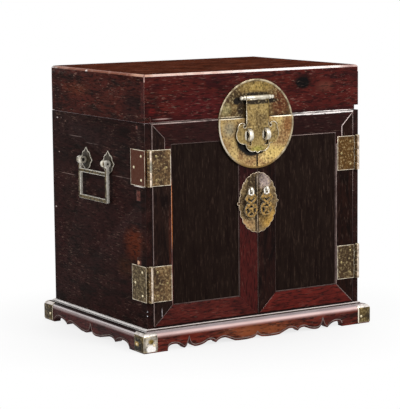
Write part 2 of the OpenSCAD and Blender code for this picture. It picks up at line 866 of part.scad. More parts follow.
// Half of the lobed oval plate behind the pendants
module pull_plate(side) {
    lobes = 22;
    petal_r = 8;
    pip_r = 2.6;
    color(brass) difference() {
        translate([side * meet_x, 0, pull_z]) upright(door_plate_y, plate_t) intersection() {
            union() {
                polygon([for (a = [0:10:350])
                    [(pull_w - petal_r / 2) * cos(a), (pull_h - petal_r / 2) * sin(a)]]);
                for (i = [0:lobes - 1]) {
                    a = 360 * (i + 0.5) / lobes;
                    translate([(pull_w - petal_r) * cos(a), (pull_h - petal_r) * sin(a)])
                        circle(r = petal_r);
                }
                translate([pull_w, 0]) circle(r = pip_r);
            }
            translate([meet_gap / 2, -2 * pull_h]) square([2 * pull_w, 4 * pull_h]);
        }
        translate([pendant_x, 0, pendant_z])
            rod_y(door_plate_y - cut, door_face_y + cut, stem_r + pin_play);
    }
}

// A round-nosed outline drawn in Y and Z that ends flat at y
module loop_side(r, y) {
    intersection() {
        union() {
            translate([loop_y, 0]) circle(r = r);
            translate([loop_y, -r]) square([y - loop_y, 2 * r]);
        }
        translate([y - 4 * r, -r]) square([4 * r, 2 * r]);
    }
}

// The lock's loop above and the pendant's eye below, each on its own stem
module door_loops() {
    color(pale_brass) {
        translate([loop_x, 0, loop_z]) {
            translate([-loop_t / 2, 0, 0]) rotate([90, 0, 90]) linear_extrude(loop_t) difference() {
                loop_side(loop_r, door_plate_y);
                loop_side(loop_hole_r, door_plate_y - loop_base);
            }
            rod_y(door_plate_y - loop_base / 2, door_face_y + stem_depth, stem_r);
        }
        translate([pendant_x, 0, pendant_z]) {
            difference() {
                union() {
                    translate([0, eye_y, 0]) rod_x(-eye_t / 2, eye_t / 2, eye_r);
                    rod_y(eye_y + eye_hole_r, door_face_y + stem_depth, stem_r);
                }
                translate([0, eye_y, 0]) rod_x(-eye_t, eye_t, eye_hole_r);
            }
        }
    }
}

module door_hinge_leaves() {
    color(brass) for (z = hinge_zs) translate([0, 0, z]) front_leaf();
}

// A flat bar with round ends between two points
module bar(a, b, w) {
    d = b - a;
    translate(a) rotate(atan2(d[1], d[0])) translate([0, -w / 2]) square([norm(d), w]);
    translate(a) circle(r = w / 2);
    translate(b) circle(r = w / 2);
}

// Openwork pendant that hangs in its eye, drawn in X and Z from its pivot
module pendant_outline() {
    difference() {
        union() {
            translate([0, -2.6]) circle(r = 4.6);
            translate([0, -10.5]) circle(r = 3.4);
            for (s = [-1, 1]) {
                bar([s * 1.8, -4], [s * 9.2, -12.6], 2.6);
                bar([s * 9.2, -12.6], [-s * 7.2, -25], 2.6);
                bar([s * 2.4, -9.5], [s * 7.6, -13.2], 2);
                bar([s * 7.4, -22], [-s * 5, -34.6], 2.2);
            }
            difference() {
                translate([0, -28.4]) circle(r = 10.6);
                translate([0, -28.4]) circle(r = 8);
                translate([-5, -21]) square([10, 5]);
            }
            translate([0, -28.6]) circle(r = 3.2);
        }
        translate([-(eye_t + 1.4) / 2, -6.2]) square([eye_t + 1.4, 5.1]);
    }
}

module pendant() {
    color(pale_brass) translate([pendant_x, 0, pendant_z])
        upright(eye_y - pendant_t / 2, pendant_t) pendant_outline();
}

// Nails

module door_nails() {
    leaf_mid = (front_leaf_x + hinge_x - knuckle_clear) / 2;
    color(pale_brass) for (z = hinge_zs)
        translate([leaf_mid, door_face_y - leaf_t, z]) mirror([1, 0, 0]) three_nails(8, hinge_h * 0.33);
}

module case_nails() {
    color(pale_brass) both_sides() {
        for (z = hinge_zs)
            translate([half_w + leaf_t, front_y + side_leaf_w / 2, z])
                rotate([0, 0, 90]) three_nails(10, hinge_h * 0.33);
        translate([lid_hinge_x, back_y + leaf_t, lid_hinge_z - lid_leaf_h * 0.62]) back_nails();
        for (s = [-1, 1]) {
            translate([plinth_half_w - mount_w * 0.7, s * (plinth_half_d + mount_t), plinth_h * 0.35])
                rotate([0, 0, s > 0 ? 180 : 0]) rotate([90, 0, 0]) nail_head();
            translate([plinth_half_w + mount_t, s * (plinth_half_d - mount_d * 0.7), plinth_h * 0.35])
                rotate([0, 90, 0]) nail_head();
        }
    }
}

module back_nails() {
    for (s = [-1, 1]) translate([s * lid_hinge_w * 0.36, 0, 0]) rotate([-90, 0, 0]) nail_head();
}

module lid_nails() {
    color(pale_brass) both_sides()
        translate([lid_hinge_x, back_y + leaf_t, lid_hinge_z + lid_leaf_h * 0.62]) back_nails();
}

// The drawers, drawn on the right; row 0 is the lowest

module drawer_box(row) {
    low = row_low[row] + seat_gap;
    high = row_high[row] - drawer_head;
    side_y = drawer_y + drawer_front_t;
    end_y = drawer_y + drawer_d;
    color(inner_wood) {
        difference() {
            block([drawer_in_x, drawer_y, low], [drawer_out_x, side_y, high]);
            translate([(drawer_in_x + drawer_out_x) / 2, 0, (low + high) / 2])
                rod_y(drawer_y - cut, side_y + cut, stem_r + pin_play);
        }
        block([drawer_in_x, side_y, low], [drawer_in_x + drawer_side_t, end_y, high]);
        block([drawer_out_x - drawer_side_t, side_y, low], [drawer_out_x, end_y, high]);
        block([drawer_in_x + drawer_side_t, end_y - drawer_side_t, low],
              [drawer_out_x - drawer_side_t, end_y, high]);
        block([drawer_in_x + drawer_side_t, side_y, low],
              [drawer_out_x - drawer_side_t, end_y - drawer_side_t, low + drawer_bottom_t]);
    }
}

// A round plate with a pear-shaped knob on a stem
module drawer_knob(row) {
    z = (row_low[row] + seat_gap + row_high[row] - drawer_head) / 2;
    color(pale_brass) translate([(drawer_in_x + drawer_out_x) / 2, drawer_y, z])
        rotate([90, 0, 0]) rotate_extrude() {
            square([9, 1]);
            translate([0, -drawer_front_t]) square([stem_r, drawer_front_t]);
            translate([0, 1]) square([2.4, 4]);
            intersection() {
                translate([0, 7]) circle(r = 4);
                translate([0, 2]) square([5, 10]);
            }
        }
}

left() side_board();  // side_board_left
side_board();  // side_board_right
back_board();
bottom_board();
tray_floor();
tray_front();
drawer_rails();
drawer_shelves();
drawer_uprights();
plinth_front();
plinth_back();
plinth_sides();
plinth_corner_mounts();
case_hinge_leaves();
hinge_pins();
bail_mounts();
case_nails();
lid_top();
lid_front();
lid_back();
lid_sides();
lock_plate_lid();
hasp_bar();
lid_hinge_leaves();
lid_nails();
hasp();
left() hinge_stile(-1);  // door_left_hinge_stile
left() meeting_stile(-1);  // door_left_meeting_stile
left() door_rails(-1);  // door_left_rails
left() door_panel(-1);  // door_left_panel
left() door_lock_plate(-1);  // door_left_lock_plate
left() pull_plate(-1);  // door_left_pull_plate
left() door_loops();  // door_left_loops
left() door_hinge_leaves();  // door_left_hinge_leaves
left() door_nails();  // door_left_nails
hinge_stile(1);  // door_right_hinge_stile
meeting_stile(1);  // door_right_meeting_stile
door_rails(1);  // door_right_rails
door_panel(1);  // door_right_panel
door_lock_plate(1);  // door_right_lock_plate
pull_plate(1);  // door_right_pull_plate
door_loops();  // door_right_loops
door_hinge_leaves();  // door_right_hinge_leaves
door_nails();  // door_right_nails
left() pendant();  // pendant_left
pendant();  // pendant_right
left() bail();  // bail_left
bail();  // bail_right
left() drawer_box(0);  // drawer_left_low
left() drawer_box(1);  // drawer_left_middle
left() drawer_box(2);  // drawer_left_high
drawer_box(0);  // drawer_right_low
drawer_box(1);  // drawer_right_middle
drawer_box(2);  // drawer_right_high
left() drawer_knob(0);  // drawer_pull_left_low
left() drawer_knob(1);  // drawer_pull_left_middle
left() drawer_knob(2);  // drawer_pull_left_high
drawer_knob(0);  // drawer_pull_right_low
drawer_knob(1);  // drawer_pull_right_middle
drawer_knob(2);  // drawer_pull_right_high
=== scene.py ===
"""Dresses a small Chinese hardwood chest with worn edges, beads, grain and aged brass."""

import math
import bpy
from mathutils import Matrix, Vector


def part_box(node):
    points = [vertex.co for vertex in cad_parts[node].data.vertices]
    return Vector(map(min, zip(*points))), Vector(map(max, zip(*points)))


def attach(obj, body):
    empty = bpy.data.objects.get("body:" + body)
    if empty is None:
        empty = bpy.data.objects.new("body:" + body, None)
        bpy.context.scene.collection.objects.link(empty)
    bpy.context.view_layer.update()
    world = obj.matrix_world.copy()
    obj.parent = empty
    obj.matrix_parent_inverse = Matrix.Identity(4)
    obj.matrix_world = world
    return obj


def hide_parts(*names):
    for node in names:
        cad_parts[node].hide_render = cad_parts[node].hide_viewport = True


bl_info = {
    "name": "Chinese Seal Chest",
    "version": (1, 0, 0),
    "blender": (4, 2, 0),
    "location": "View3D > Sidebar > Chest",
    "description": "Finishes the wood, brass and stage of a hardwood seal chest",
    "category": "Object",
}

import bmesh
import bpy
from bpy.props import FloatProperty, FloatVectorProperty, IntProperty, PointerProperty
from mathutils import Matrix, Vector

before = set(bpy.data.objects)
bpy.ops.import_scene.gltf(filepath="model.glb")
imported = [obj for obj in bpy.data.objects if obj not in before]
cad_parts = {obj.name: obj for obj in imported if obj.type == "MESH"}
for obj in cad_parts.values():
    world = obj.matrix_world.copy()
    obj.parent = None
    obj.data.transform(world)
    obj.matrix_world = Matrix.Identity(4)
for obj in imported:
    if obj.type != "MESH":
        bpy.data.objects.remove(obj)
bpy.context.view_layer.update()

MM = 0.001
SIDES = ("left", "right")
ROWS = ("low", "middle", "high")

# Half the case's width and depth, and the planes that marks lie on, in millimetres
HALF_WIDTH = 180
HALF_DEPTH = 137.5
LEFT_SIDE = -HALF_WIDTH
LEFT_LEAF = -181.2
LID_FRONT = -HALF_DEPTH
DOOR_FRONT = -139.5
PLATE_FRONT = -140
PENDANT_FRONT = -145.7
MOUNT_FRONT = -151.2
MOUNT_SIDE = -193.5

# Distance under which points are one, and under which a point lies on a plane
MERGE = 0.002 * MM
ON_PLANE = 0.01 * MM
ON_JOINT = 0.05 * MM
# Least share of a normal along an axis, and least area, of a plate's wide outer face
FACING = 0.9
WIDE_FACE = 20 * MM * MM


def linear(code):
    """Linear red, green, blue and alpha of an sRGB hex colour, or of a colour setting."""
    if not isinstance(code, str):
        return list(code)
    channels = [int(code[i:i + 2], 16) / 255 for i in (1, 3, 5)]
    return [c / 12.92 if c <= 0.04045 else ((c + 0.055) / 1.055) ** 2.4 for c in channels] + [1]


def colour(label, about, code):
    """A colour setting whose default is an sRGB hex colour."""
    return FloatVectorProperty(
        name=label, description=about, default=linear(code), size=4, min=0, max=1, subtype="COLOR"
    )


def length(label, about, millimetres):
    """A length setting whose default is in millimetres."""
    return FloatProperty(name=label, description=about, default=millimetres * MM, min=0, unit="LENGTH")


def angle(label, about, degrees):
    """An angle setting whose default is in degrees."""
    return FloatProperty(name=label, description=about, default=math.radians(degrees), unit="ROTATION")


def power(label, about, watts):
    """A lamp's power setting."""
    return FloatProperty(name=label, description=about, default=watts, min=0, unit="POWER")


class WoodSettings(bpy.types.PropertyGroup):
    red: colour("Red wood", "Polished front of the lid", "#451814")
    dark: colour("Dark wood", "Side boards and back board", "#281513")
    black: colour("Black wood", "Streaks and pores in every board", "#140c0b")
    fleck: colour("Fleck", "Short pale flecks along the grain", "#97796a")
    panel: colour("Panel", "Close-grained door panels", "#201713")
    inner: colour("Inner wood", "Unpolished boards inside", "#6e4a2e")
    drawer: colour("Drawer wood", "Boards of the drawers", "#5c3420")


class BrassSettings(bpy.types.PropertyGroup):
    gold: colour("Gold", "Rubbed sheet brass", "#b29862")
    brown: colour("Brown", "Dirt on rims and nails", "#5e4528")
    glint: colour("Glint", "Fine bright points on sheet brass", "#cdb888")
    soot: colour("Soot", "Dark pits and corners", "#241b11")
    silver: colour("Silver", "Pale cast brass, rubbed bright", "#ebe4d4")
    olive: colour("Olive", "Dull hollows of cast brass", "#5d533a")
    rim: colour("Rim", "Rubbed borders of the sheet brass", "#e6dac4")


class EdgeSettings(bpy.types.PropertyGroup):
    board: length("Board edge", "Width of the worn edge on a board", 1.0)
    lid: length("Lid edge", "Width of the worn edge on the lid's top", 1.2)
    sheet: length("Sheet edge", "Width of the rubbed edge on sheet brass", 0.35)
    border: length("Sheet border", "Width of the rubbed border on sheet brass", 1.1)
    cast: length("Cast edge", "Width of the rounded edge on cast brass", 0.8)
    segments: IntProperty(name="Segments", description="Steps across an edge", default=2, min=1, max=4)
    bead: length("Bead", "Width of the bead round a door's panel", 1.3)
    apron_bead: length("Apron bead", "Radius of the carved bead along the apron", 0.6)
    apron_rise: length("Apron rise", "Height of that bead over the apron's edge", 2.6)
    hasp_bead: length("Hasp bead", "Radius of the worn lip round the hasp's front", 0.45)


class StageSettings(bpy.types.PropertyGroup):
    place: FloatVectorProperty(
        name="Camera place",
        description="Where the camera stands",
        default=(-1.38996, -2.24463, 0.54269),
        subtype="TRANSLATION",
        unit="LENGTH",
    )
    yaw: angle("Yaw", "Turn to the right of the doors' axis", 31.62)
    pitch: angle("Pitch", "Tilt below the horizon", 7.93)
    roll: angle("Roll", "Turn about the line of sight", -0.55)
    lens: FloatProperty(name="Lens", description="Focal length", default=161.6, min=1, unit="CAMERA")
    floor: colour("Floor", "Plain pale floor", "#dedede")
    world: FloatProperty(
        name="World", description="Strength of the light from all round", default=0.55, min=0
    )
    key: power("Key", "Power of the large lamp above the front", 36)
    fill: power("Fill", "Power of the lamp beside the hinges", 10)
    top: power("Top", "Power of the lamp over the lid's back", 16)


class ChestSettings(bpy.types.PropertyGroup):
    wood: PointerProperty(type=WoodSettings)
    brass: PointerProperty(type=BrassSettings)
    edges: PointerProperty(type=EdgeSettings)
    stage: PointerProperty(type=StageSettings)


def settings():
    """The chest's settings in the scene."""
    return bpy.context.scene.chest


# Patterns and materials


def add_node(tree, kind, inputs=None, stops=None, **options):
    """Adds a node, sets its options and ramp stops, and links or fills its inputs."""
    node = tree.nodes.new(kind)
    for name, value in options.items():
        setattr(node, name, value)
    if stops:
        elements = node.color_ramp.elements
        for position, _ in stops[1:-1]:
            elements.new(position)
        for element, (position, shade) in zip(elements, stops):
            element.position = position
            element.color = shade if hasattr(shade, "__len__") else (shade, shade, shade, 1)
    for name, value in (inputs or {}).items():
        socket = node.inputs[name]
        if isinstance(value, bpy.types.NodeSocket):
            tree.links.new(value, socket)
        else:
            socket.default_value = value
    return node


def new_material(name, constants):
    """An empty material: its shader with constants, its output and the object's coordinates."""
    material = bpy.data.materials.new(name)
    material.use_nodes = True
    tree = material.node_tree
    tree.nodes.clear()
    shader = add_node(tree, "ShaderNodeBsdfPrincipled", constants)
    add_node(tree, "ShaderNodeOutputMaterial", {"Surface": shader.outputs["BSDF"]})
    coords = add_node(tree, "ShaderNodeTexCoord").outputs["Object"]
    return material, tree, shader, coords


def lay(tree, below, over, field, *stops, limit=None):
    """Lays a colour over another as far as a field says, shaped by a ramp's stops and by a limit.

    A Mix node's colours are its inputs 6 and 7, and its mixed colour is its output 2.
    """
    if stops:
        field = add_node(tree, "ShaderNodeValToRGB", {"Fac": field}, stops=stops).outputs["Color"]
    if limit is not None:
        field = add_node(
            tree, "ShaderNodeMath", {0: field, 1: limit}, operation="MULTIPLY", use_clamp=True
        ).outputs[0]
    return add_node(
        tree, "ShaderNodeMix", {0: field, 6: below, 7: over}, data_type="RGBA", clamp_result=True
    ).outputs[2]


def along_grain(tree, coords, grain, stretch, size, detail, roughness=0.55, distortion=0.0, place=(0, 0, 0)):
    """Noise whose blobs are size mm across the grain and stretch times that along it."""
    mapping = add_node(
        tree,
        "ShaderNodeMapping",
        {"Vector": coords, "Location": place, "Scale": [1 if axis == grain else stretch for axis in "XYZ"]},
    )
    return add_node(
        tree,
        "ShaderNodeTexNoise",
        {
            "Vector": mapping.outputs[0],
            "Scale": 1 / (size * MM * stretch),
            "Detail": detail,
            "Roughness": roughness,
            "Distortion": distortion,
        },
    ).outputs["Fac"]


def spot(tree, coords, place, radii, softness):
    """1 inside an ellipsoid given in millimetres, falling to 0 over the outer share of its radius."""
    mapping = add_node(
        tree,
        "ShaderNodeMapping",
        {"Vector": coords, "Location": [v * MM for v in place], "Scale": [v * MM for v in radii]},
        vector_type="TEXTURE",
    )
    far = add_node(tree, "ShaderNodeVectorMath", {0: mapping.outputs[0]}, operation="LENGTH")
    return add_node(
        tree, "ShaderNodeValToRGB", {"Fac": far.outputs["Value"]}, stops=((1 - softness, 1), (1, 0))
    ).outputs["Color"]


def on_front(face, deep, *rows):
    """Patches on a surface that looks along Y, at face, reaching deep into it, all in millimetres.

    Each row is (X, Z, half width, half height, hex colour, strength).
    """
    return tuple(
        ((x, face, z), (wide, deep, high), tint, strength) for x, z, wide, high, tint, strength in rows
    )


def on_side(face, deep, *rows):
    """Patches like those of on_front on a surface that looks along X; each row starts with Y."""
    return tuple(
        ((face, y, z), (deep, wide, high), tint, strength) for y, z, wide, high, tint, strength in rows
    )


def add_patches(tree, coords, shade, patches, field):
    """Lays soft patches over a colour; each is (place, radii, hex colour, strength).

    A strength up to 1 leaves the patch broken by the field, 2 fills it and 4 gives it a firm edge.
    """
    for place, radii, tint, strength in patches:
        inside = spot(tree, coords, place, radii, 0.7)
        broken = add_node(
            tree,
            "ShaderNodeMapRange",
            {"Value": field, "From Min": 0.35, "From Max": 0.6, "To Min": strength * 0.5, "To Max": strength},
        ).outputs["Result"]
        shade = lay(tree, shade, linear(tint), inside, limit=broken)
    return shade


def finish_surface(tree, shader, shade, field, rough, bump, depth=0.4):
    """Gives a shader its colour, a roughness by a field's ramp, and bumps depth mm high from it."""
    tree.links.new(shade, shader.inputs["Base Color"])
    if rough:
        dull = add_node(tree, "ShaderNodeValToRGB", {"Fac": field}, stops=rough)
        tree.links.new(dull.outputs["Color"], shader.inputs["Roughness"])
    relief = add_node(tree, "ShaderNodeBump", {"Height": field, "Strength": bump, "Distance": depth * MM})
    tree.links.new(relief.outputs[0], shader.inputs["Normal"])


def rosewood(
    name, base, streak, grain, place, flecks=0.3, shine=0.5, gloss=0.02, patches=(), bands=()
):
    """Waxed rosewood with long dark streaks, short black pores and pale flecks along the grain.

    The streaks are 9 mm apart, the pores 2 mm and the flecks 1.3 mm by 9 mm, drawn as coarse as
    the render can show; real pores are a tenth of that.
    """
    wood = settings().wood
    base = linear(base)
    material, tree, shader, coords = new_material(name, {"Specular IOR Level": gloss})
    figure = along_grain(tree, coords, grain, 6, 9, 5, 0.6, 0.8, place)
    pores = along_grain(tree, coords, grain, 6, 2.2, 3, 0.65, place=place)
    short = along_grain(tree, coords, grain, 7, 1.3, 2, 0.5, 0.6, (place[2], place[0], 0.3))
    field = along_grain(tree, coords, grain, 2, 22, 4, 0.6, place=place)
    lighter = [min(1, c * 1.55) for c in base[:3]] + [1]
    shade = lay(tree, linear(streak), base, figure, (0.38, 0), (0.56, 1))
    shade = lay(tree, shade, lighter, field, (0.5, 0), (0.7, 0.7))
    shade = add_patches(tree, coords, shade, patches, field)
    shade = lay(tree, shade, linear(wood.black), pores, (0.38, 0.8), (0.5, 0))
    scarce = add_node(tree, "ShaderNodeValToRGB", {"Fac": field}, stops=((0.42, 0.1), (0.6, 1)))
    shade = lay(
        tree, shade, linear(wood.fleck), short, (0.6, 0), (0.7, flecks), limit=scarce.outputs["Color"]
    )
    if bands:
        shade = mouldings(tree, coords, shade, grain, place, bands)
    finish_surface(tree, shader, shade, pores, ((0.3, shine + 0.15), (0.6, shine)), 0.25)
    return material


def mouldings(tree, coords, shade, grain, place, bands):
    """Paints bands by height over the mouldings: pale bands of painted highlight, partly rubbed wax, and dark
    lines of painted shade between them.

    Each band is (height over the floor in mm, hex colour, how far it covers the wood).
    """
    low, high = bands[0][0], bands[-1][0]
    height = add_node(tree, "ShaderNodeSeparateXYZ", {"Vector": coords}).outputs["Z"]
    rise = add_node(
        tree, "ShaderNodeMapRange", {"Value": height, "From Min": low * MM, "From Max": high * MM}
    ).outputs["Result"]
    broken = along_grain(tree, coords, grain, 5, 8, 4, place=place)
    rubbed = add_node(tree, "ShaderNodeValToRGB", {"Fac": broken}, stops=((0.3, 0.8), (0.55, 1)))
    places = [(at - low) / (high - low) for at, _, _ in bands]
    tones = [(at, linear(code)) for at, (_, code, _) in zip(places, bands)]
    tone = add_node(tree, "ShaderNodeValToRGB", {"Fac": rise}, stops=tones).outputs["Color"]
    covers = [(at, cover) for at, (_, _, cover) in zip(places, bands)]
    return lay(tree, shade, tone, rise, *covers, limit=rubbed.outputs["Color"])


def worn_edge(name, base, wear, pale, patches=()):
    """The rubbed arris of an old waxed board: its own colour broken by pale wax and dust.

    The wear comes and goes over about 17 mm, so there are 60 blotches to a metre.
    """
    material, tree, shader, coords = new_material(name, {"Roughness": 0.5, "Specular IOR Level": 0.15})
    blotches = add_node(
        tree, "ShaderNodeTexNoise", {"Vector": coords, "Scale": 60, "Detail": 5, "Roughness": 0.65}
    ).outputs["Fac"]
    shade = lay(tree, linear(base), linear(pale), blotches, (0.36, wear * 0.3), (0.58, wear))
    shade = add_patches(tree, coords, shade, patches, blotches)
    tree.links.new(shade, shader.inputs["Base Color"])
    return material


def panel_wood(name, place):
    """Near-black close-grained panel board, oiled and rubbed: fine upright grain with a faint sheen.

    The figure is 6 mm across and the pores 1.9 mm, drawn as coarse as the render can show.
    """
    wood = settings().wood
    material, tree, shader, coords = new_material(name, {"Specular IOR Level": 0.01})
    figure = along_grain(tree, coords, "Z", 8, 6, 5, distortion=0.5, place=place)
    pores = along_grain(tree, coords, "Z", 9, 1.9, 3, 0.7, place=place)
    shade = lay(tree, linear(wood.black), linear(wood.panel), figure, (0.35, 0.2), (0.7, 1))
    shade = lay(tree, shade, linear("#3a2c25"), pores, (0.55, 0), (0.7, 0.75))
    finish_surface(tree, shader, shade, pores, ((0.3, 0.72), (0.7, 0.6)), 0.2, 0.3)
    return material


def plain_wood(name, base, grain, place=(0, 0, 0)):
    """Planed secondary wood, unpolished: soft grain, dull surface, darker along the growth lines.

    The growth lines are 8 mm apart and the fibres 2.2 mm, drawn as coarse as the render can show.
    """
    base = linear(base)
    material, tree, shader, coords = new_material(name, {"Roughness": 0.62, "Specular IOR Level": 0.2})
    figure = along_grain(tree, coords, grain, 10, 8, 5, distortion=0.6, place=place)
    fibres = along_grain(tree, coords, grain, 14, 2.2, 3, place=place)
    darker = [c * 0.45 for c in base[:3]] + [1]
    lighter = [min(1, c * 1.35) for c in base[:3]] + [1]
    shade = lay(tree, darker, base, figure, (0.35, 0), (0.65, 1))
    shade = lay(tree, shade, lighter, fibres, (0.5, 0), (0.8, 0.6))
    finish_surface(tree, shader, shade, fibres, None, 0.3)
    return material


def sheet_brass(name, bright, patina, speckle=3.2, place=(0, 0, 0), patches=()):
    """Old hammered sheet brass: gold where rubbed, patina in clouds, a fine mottle of pits and glints.

    The clouds are 9 mm across, half of the noise's 18 mm, and the mottle about 3 mm, as coarse as
    the render can show. Patches of strength 3 or more lie over the mottle.
    """
    brass = settings().brass
    material, tree, shader, coords = new_material(name, {"Metallic": 0.75})
    moved = add_node(tree, "ShaderNodeMapping", {"Vector": coords, "Location": place}).outputs[0]
    clouds = add_node(
        tree,
        "ShaderNodeTexNoise",
        {"Vector": moved, "Scale": 1 / (18 * MM), "Detail": 5, "Roughness": 0.62, "Distortion": 0.5},
    ).outputs["Fac"]
    mottle = add_node(
        tree,
        "ShaderNodeTexNoise",
        {"Vector": moved, "Scale": 1 / (speckle * MM), "Detail": 3, "Roughness": 0.6},
    ).outputs["Fac"]
    shade = lay(tree, linear(patina), linear(bright), clouds, (0.4, 0), (0.6, 1))
    shade = add_patches(tree, coords, shade, [patch for patch in patches if patch[3] < 3], clouds)
    shade = lay(tree, shade, linear(brass.soot), mottle, (0.34, 0.7), (0.49, 0))
    shade = lay(tree, shade, linear(brass.glint), mottle, (0.54, 0), (0.7, 0.5))
    shade = add_patches(tree, coords, shade, [patch for patch in patches if patch[3] >= 3], clouds)
    finish_surface(tree, shader, shade, mottle, ((0.35, 0.7), (0.65, 0.5)), 0.3)
    return material


def rubbed_brass(name, base, dirt_colour, dirt, size=6, patches=(), metal=0.8):
    """Cast white brass, handled bright on its high parts, with dark dirt in clouds of size mm."""
    material, tree, shader, coords = new_material(name, {"Metallic": metal})
    cloud = add_node(
        tree,
        "ShaderNodeTexNoise",
        {"Vector": coords, "Scale": 1 / (size * MM), "Detail": 4, "Roughness": 0.62},
    ).outputs["Fac"]
    shade = lay(tree, linear(base), linear(dirt_colour), cloud, (0.36, dirt), (0.58, 0))
    shade = add_patches(tree, coords, shade, patches, cloud)
    finish_surface(tree, shader, shade, cloud, ((0.35, 0.6), (0.6, 0.38)), 0.3)
    return material


# Mesh helpers


def deselect():
    """Leaves edit mode and deselects everything."""
    if bpy.context.mode != "OBJECT":
        bpy.ops.object.mode_set(mode="OBJECT")
    bpy.ops.object.select_all(action="DESELECT")


def only(piece):
    """Selects one object alone and makes it active."""
    deselect()
    piece.select_set(True)
    bpy.context.view_layer.objects.active = piece


def new_object(name, data):
    """An object of its own in the scene, selected alone."""
    piece = bpy.data.objects.new(name, data)
    bpy.context.scene.collection.objects.link(piece)
    only(piece)
    return piece


def finish_piece(piece, body, materials=(), smooth=30):
    """Places an object's transform in its mesh, gives it its materials and hangs it on its body."""
    only(piece)
    bpy.ops.object.transform_apply(location=True, rotation=True, scale=True)
    bpy.ops.object.shade_smooth_by_angle(angle=math.radians(smooth))
    for material in materials:
        piece.data.materials.append(material)
    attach(piece, body)


def apply_modifier(piece, kind, **options):
    """Adds a modifier with its options and applies it at once."""
    only(piece)
    modifier = piece.modifiers.new(kind.title(), kind)
    for name, value in options.items():
        setattr(modifier, name, value)
    bpy.ops.object.modifier_apply(modifier=modifier.name)


def copy_of_node(node, name):
    """A merged copy of a CAD node's mesh as an object of its own."""
    piece = new_object(name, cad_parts[node].data.copy())
    bpy.ops.object.mode_set(mode="EDIT")
    bpy.ops.mesh.select_all(action="SELECT")
    bpy.ops.mesh.remove_doubles(threshold=MERGE)
    bpy.ops.mesh.dissolve_limited(angle_limit=math.radians(0.5))
    bpy.ops.object.mode_set(mode="OBJECT")
    return piece


def border(piece, width, test, inner, rim):
    """Gives the faces that pass a test a border of the rim material round the inner one."""
    only(piece)
    bpy.ops.object.mode_set(mode="EDIT")
    bpy.ops.mesh.select_mode(type="FACE")
    bpy.ops.mesh.select_all(action="DESELECT")
    bpy.ops.object.mode_set(mode="OBJECT")
    for polygon in piece.data.polygons:
        polygon.select = test(polygon)
    bpy.ops.object.mode_set(mode="EDIT")
    piece.active_material_index = rim
    bpy.ops.object.material_slot_assign()
    bpy.ops.mesh.inset(thickness=width, depth=0)
    piece.active_material_index = inner
    bpy.ops.object.material_slot_assign()
    bpy.ops.object.mode_set(mode="OBJECT")


def middle_of(edge):
    """The middle of a mesh edge."""
    return (edge.verts[0].co + edge.verts[1].co) / 2


def mark_edges(piece, least, closed):
    """Marks the edges to round: those sharper than the least angle, apart from closed joints."""
    mesh = bmesh.new()
    mesh.from_mesh(piece.data)
    weight = mesh.edges.layers.float.new("bevel_weight_edge")
    for edge in mesh.edges:
        sharp = len(edge.link_faces) == 2 and edge.calc_face_angle() > least
        if sharp and not (closed and closed(middle_of(edge))):
            edge[weight] = 1
    mesh.to_mesh(piece.data)
    mesh.free()


def soften(node, body, width, materials, part=None, ring=None, sharp=40, closed=None):
    """Stands for a CAD node with a copy whose edges sharper than an angle are rounded.

    The first material is for the faces and the last for the rounded edges. part gives a face's
    material number. ring is a border's width, the test for the faces that it runs round and the
    number of the material inside it. closed tells by an edge's middle that it stays sharp.
    """
    piece = copy_of_node(node, "worn_" + node)
    piece.data.materials.clear()
    for material in materials:
        piece.data.materials.append(material)
    last = len(materials) - 1
    for polygon in piece.data.polygons:
        polygon.material_index = part(polygon) if part else 0
    if ring:
        border(piece, *ring, last)
    mark_edges(piece, math.radians(sharp), closed)
    apply_modifier(
        piece,
        "BEVEL",
        width=width,
        segments=settings().edges.segments,
        limit_method="WEIGHT",
        material=last,
        use_clamp_overlap=True,
        loop_slide=True,
    )
    finish_piece(piece, body)
    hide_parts(node)


def bead_round(name, low, high, width, depth):
    """A bead round a rectangle in X and Z, mitred at its corners and standing out to -Y."""
    deselect()
    middle = (low + high) / 2
    bpy.ops.mesh.primitive_plane_add(size=1, location=middle, rotation=(math.pi / 2, 0, 0))
    ring = bpy.context.active_object
    ring.name = name
    ring.scale = (high.x - low.x, high.z - low.z, 1)
    bpy.ops.object.transform_apply(location=True, rotation=True, scale=True)
    bpy.ops.object.mode_set(mode="EDIT")
    bpy.ops.mesh.select_all(action="SELECT")
    bpy.ops.mesh.inset(thickness=width, depth=0)
    bpy.ops.mesh.delete(type="FACE")
    bpy.ops.mesh.select_all(action="SELECT")
    bpy.ops.mesh.extrude_region_move(TRANSFORM_OT_translate={"value": (0, -depth, 0)})
    bpy.ops.mesh.select_all(action="SELECT")
    bpy.ops.mesh.normals_make_consistent(inside=False)
    bpy.ops.object.mode_set(mode="OBJECT")
    square = math.radians(60)
    apply_modifier(
        ring, "BEVEL", width=depth * 0.45, segments=2, limit_method="ANGLE", angle_limit=square
    )
    return ring


def thicken(wire, radius):
    """Gives the active curve a round section and makes it a mesh."""
    wire.data.bevel_depth = radius
    wire.data.bevel_resolution = 2
    bpy.ops.object.convert(target="MESH")
    return bpy.context.active_object


# Pieces


